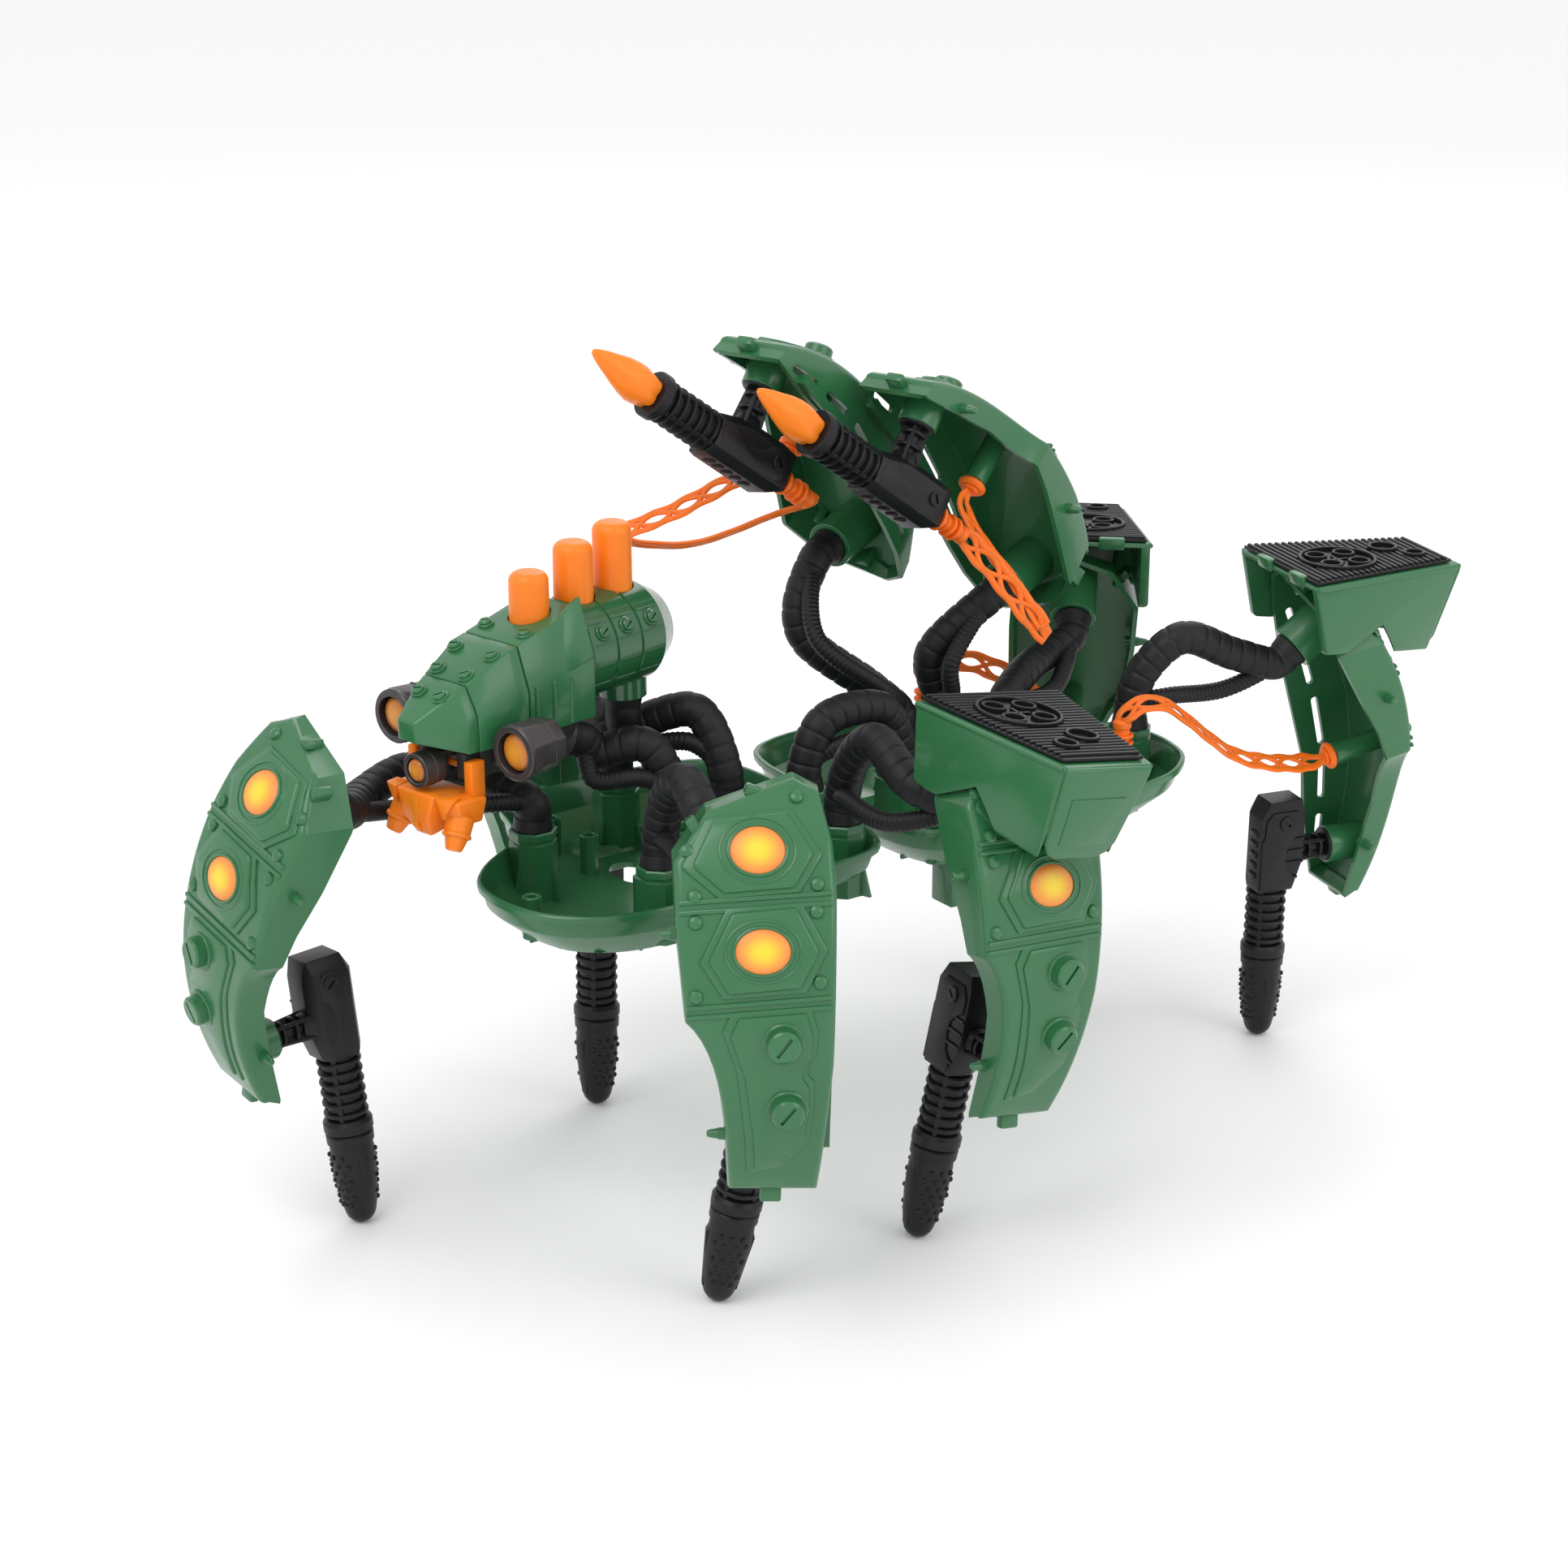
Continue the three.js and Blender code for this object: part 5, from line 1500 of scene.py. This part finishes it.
# ------------------------------------------------------------------ the whole robot


def floor():
    mesh = bpy.data.meshes.new("floor")
    corners = [(x * FLOOR_HALF, y * FLOOR_HALF, 0) for x, y in ((-1, -1), (1, -1), (1, 1), (-1, 1))]
    mesh.from_pydata(corners, [], [(0, 1, 2, 3)])
    paint, _, shader = blank_material("floor")
    shader.inputs["Base Color"].default_value = (0.93, 0.93, 0.93, 1)
    shader.inputs["Roughness"].default_value = 0.9
    mesh.materials.append(paint)
    linked("floor", mesh)


def build():
    camera()
    studio()
    floor()
    shell = shell_mesh()
    shell_meshes = {1: shell, -1: mirrored(shell, "shell_mirrored")}
    cap = cap_mesh()
    rod, boot, flame, tread = rod_mesh(), boot_mesh(), flame_mesh(), tread_mesh()
    shells, arms, cannons = {}, {}, {}
    for key, side in LEGS.items():
        shells[key] = at = shell_frame("swivel_" + key, "foot_" + key)
        body = "shell_" + key
        placed(shell_meshes[side], "dressed_leg_shell_" + key, at, body, "leg_shell_" + key, slot="green")
        if key in CAPPED:
            placed(cap, "dressed_hip_cap_" + key, at, body, "hip_cap_" + key, slot="green")
            placed(tread, "dressed_tread_" + key, tread_frame(at), body, "tread_plate_" + key, slot="black")
        at = rod_frame("foot_" + key, "boot_" + key)
        body = "rod_" + key
        placed(rod, "dressed_rod_" + key, at, body, "grip_rod_" + key, slot="black")
        placed(boot, "dressed_boot_" + key, at, body, "boot_" + key, slot="black")
    for key, side in ARMS.items():
        arms[key] = at = shell_frame("swivel_arm_" + key, "cannon_" + key)
        shell = "arm_shell_" + key
        placed(shell_meshes[side], "dressed_" + shell, at, "arm_" + key, shell, slot="green")
        body = "cannon_" + key
        cannons[key] = at = rod_frame(body, "flame_" + key)
        placed(rod, "dressed_cannon_" + key, at, body, body, slot="black")
        placed(flame, "dressed_flame_" + key, at, body, "flame_" + key, slot="orange")
    for name in PANS:
        placed(pan_mesh(name), "dressed_" + name, BODY, "body", name, slot="green")
    hoses(shells, arms)
    straps(shells, arms, cannons)
    head()


build()
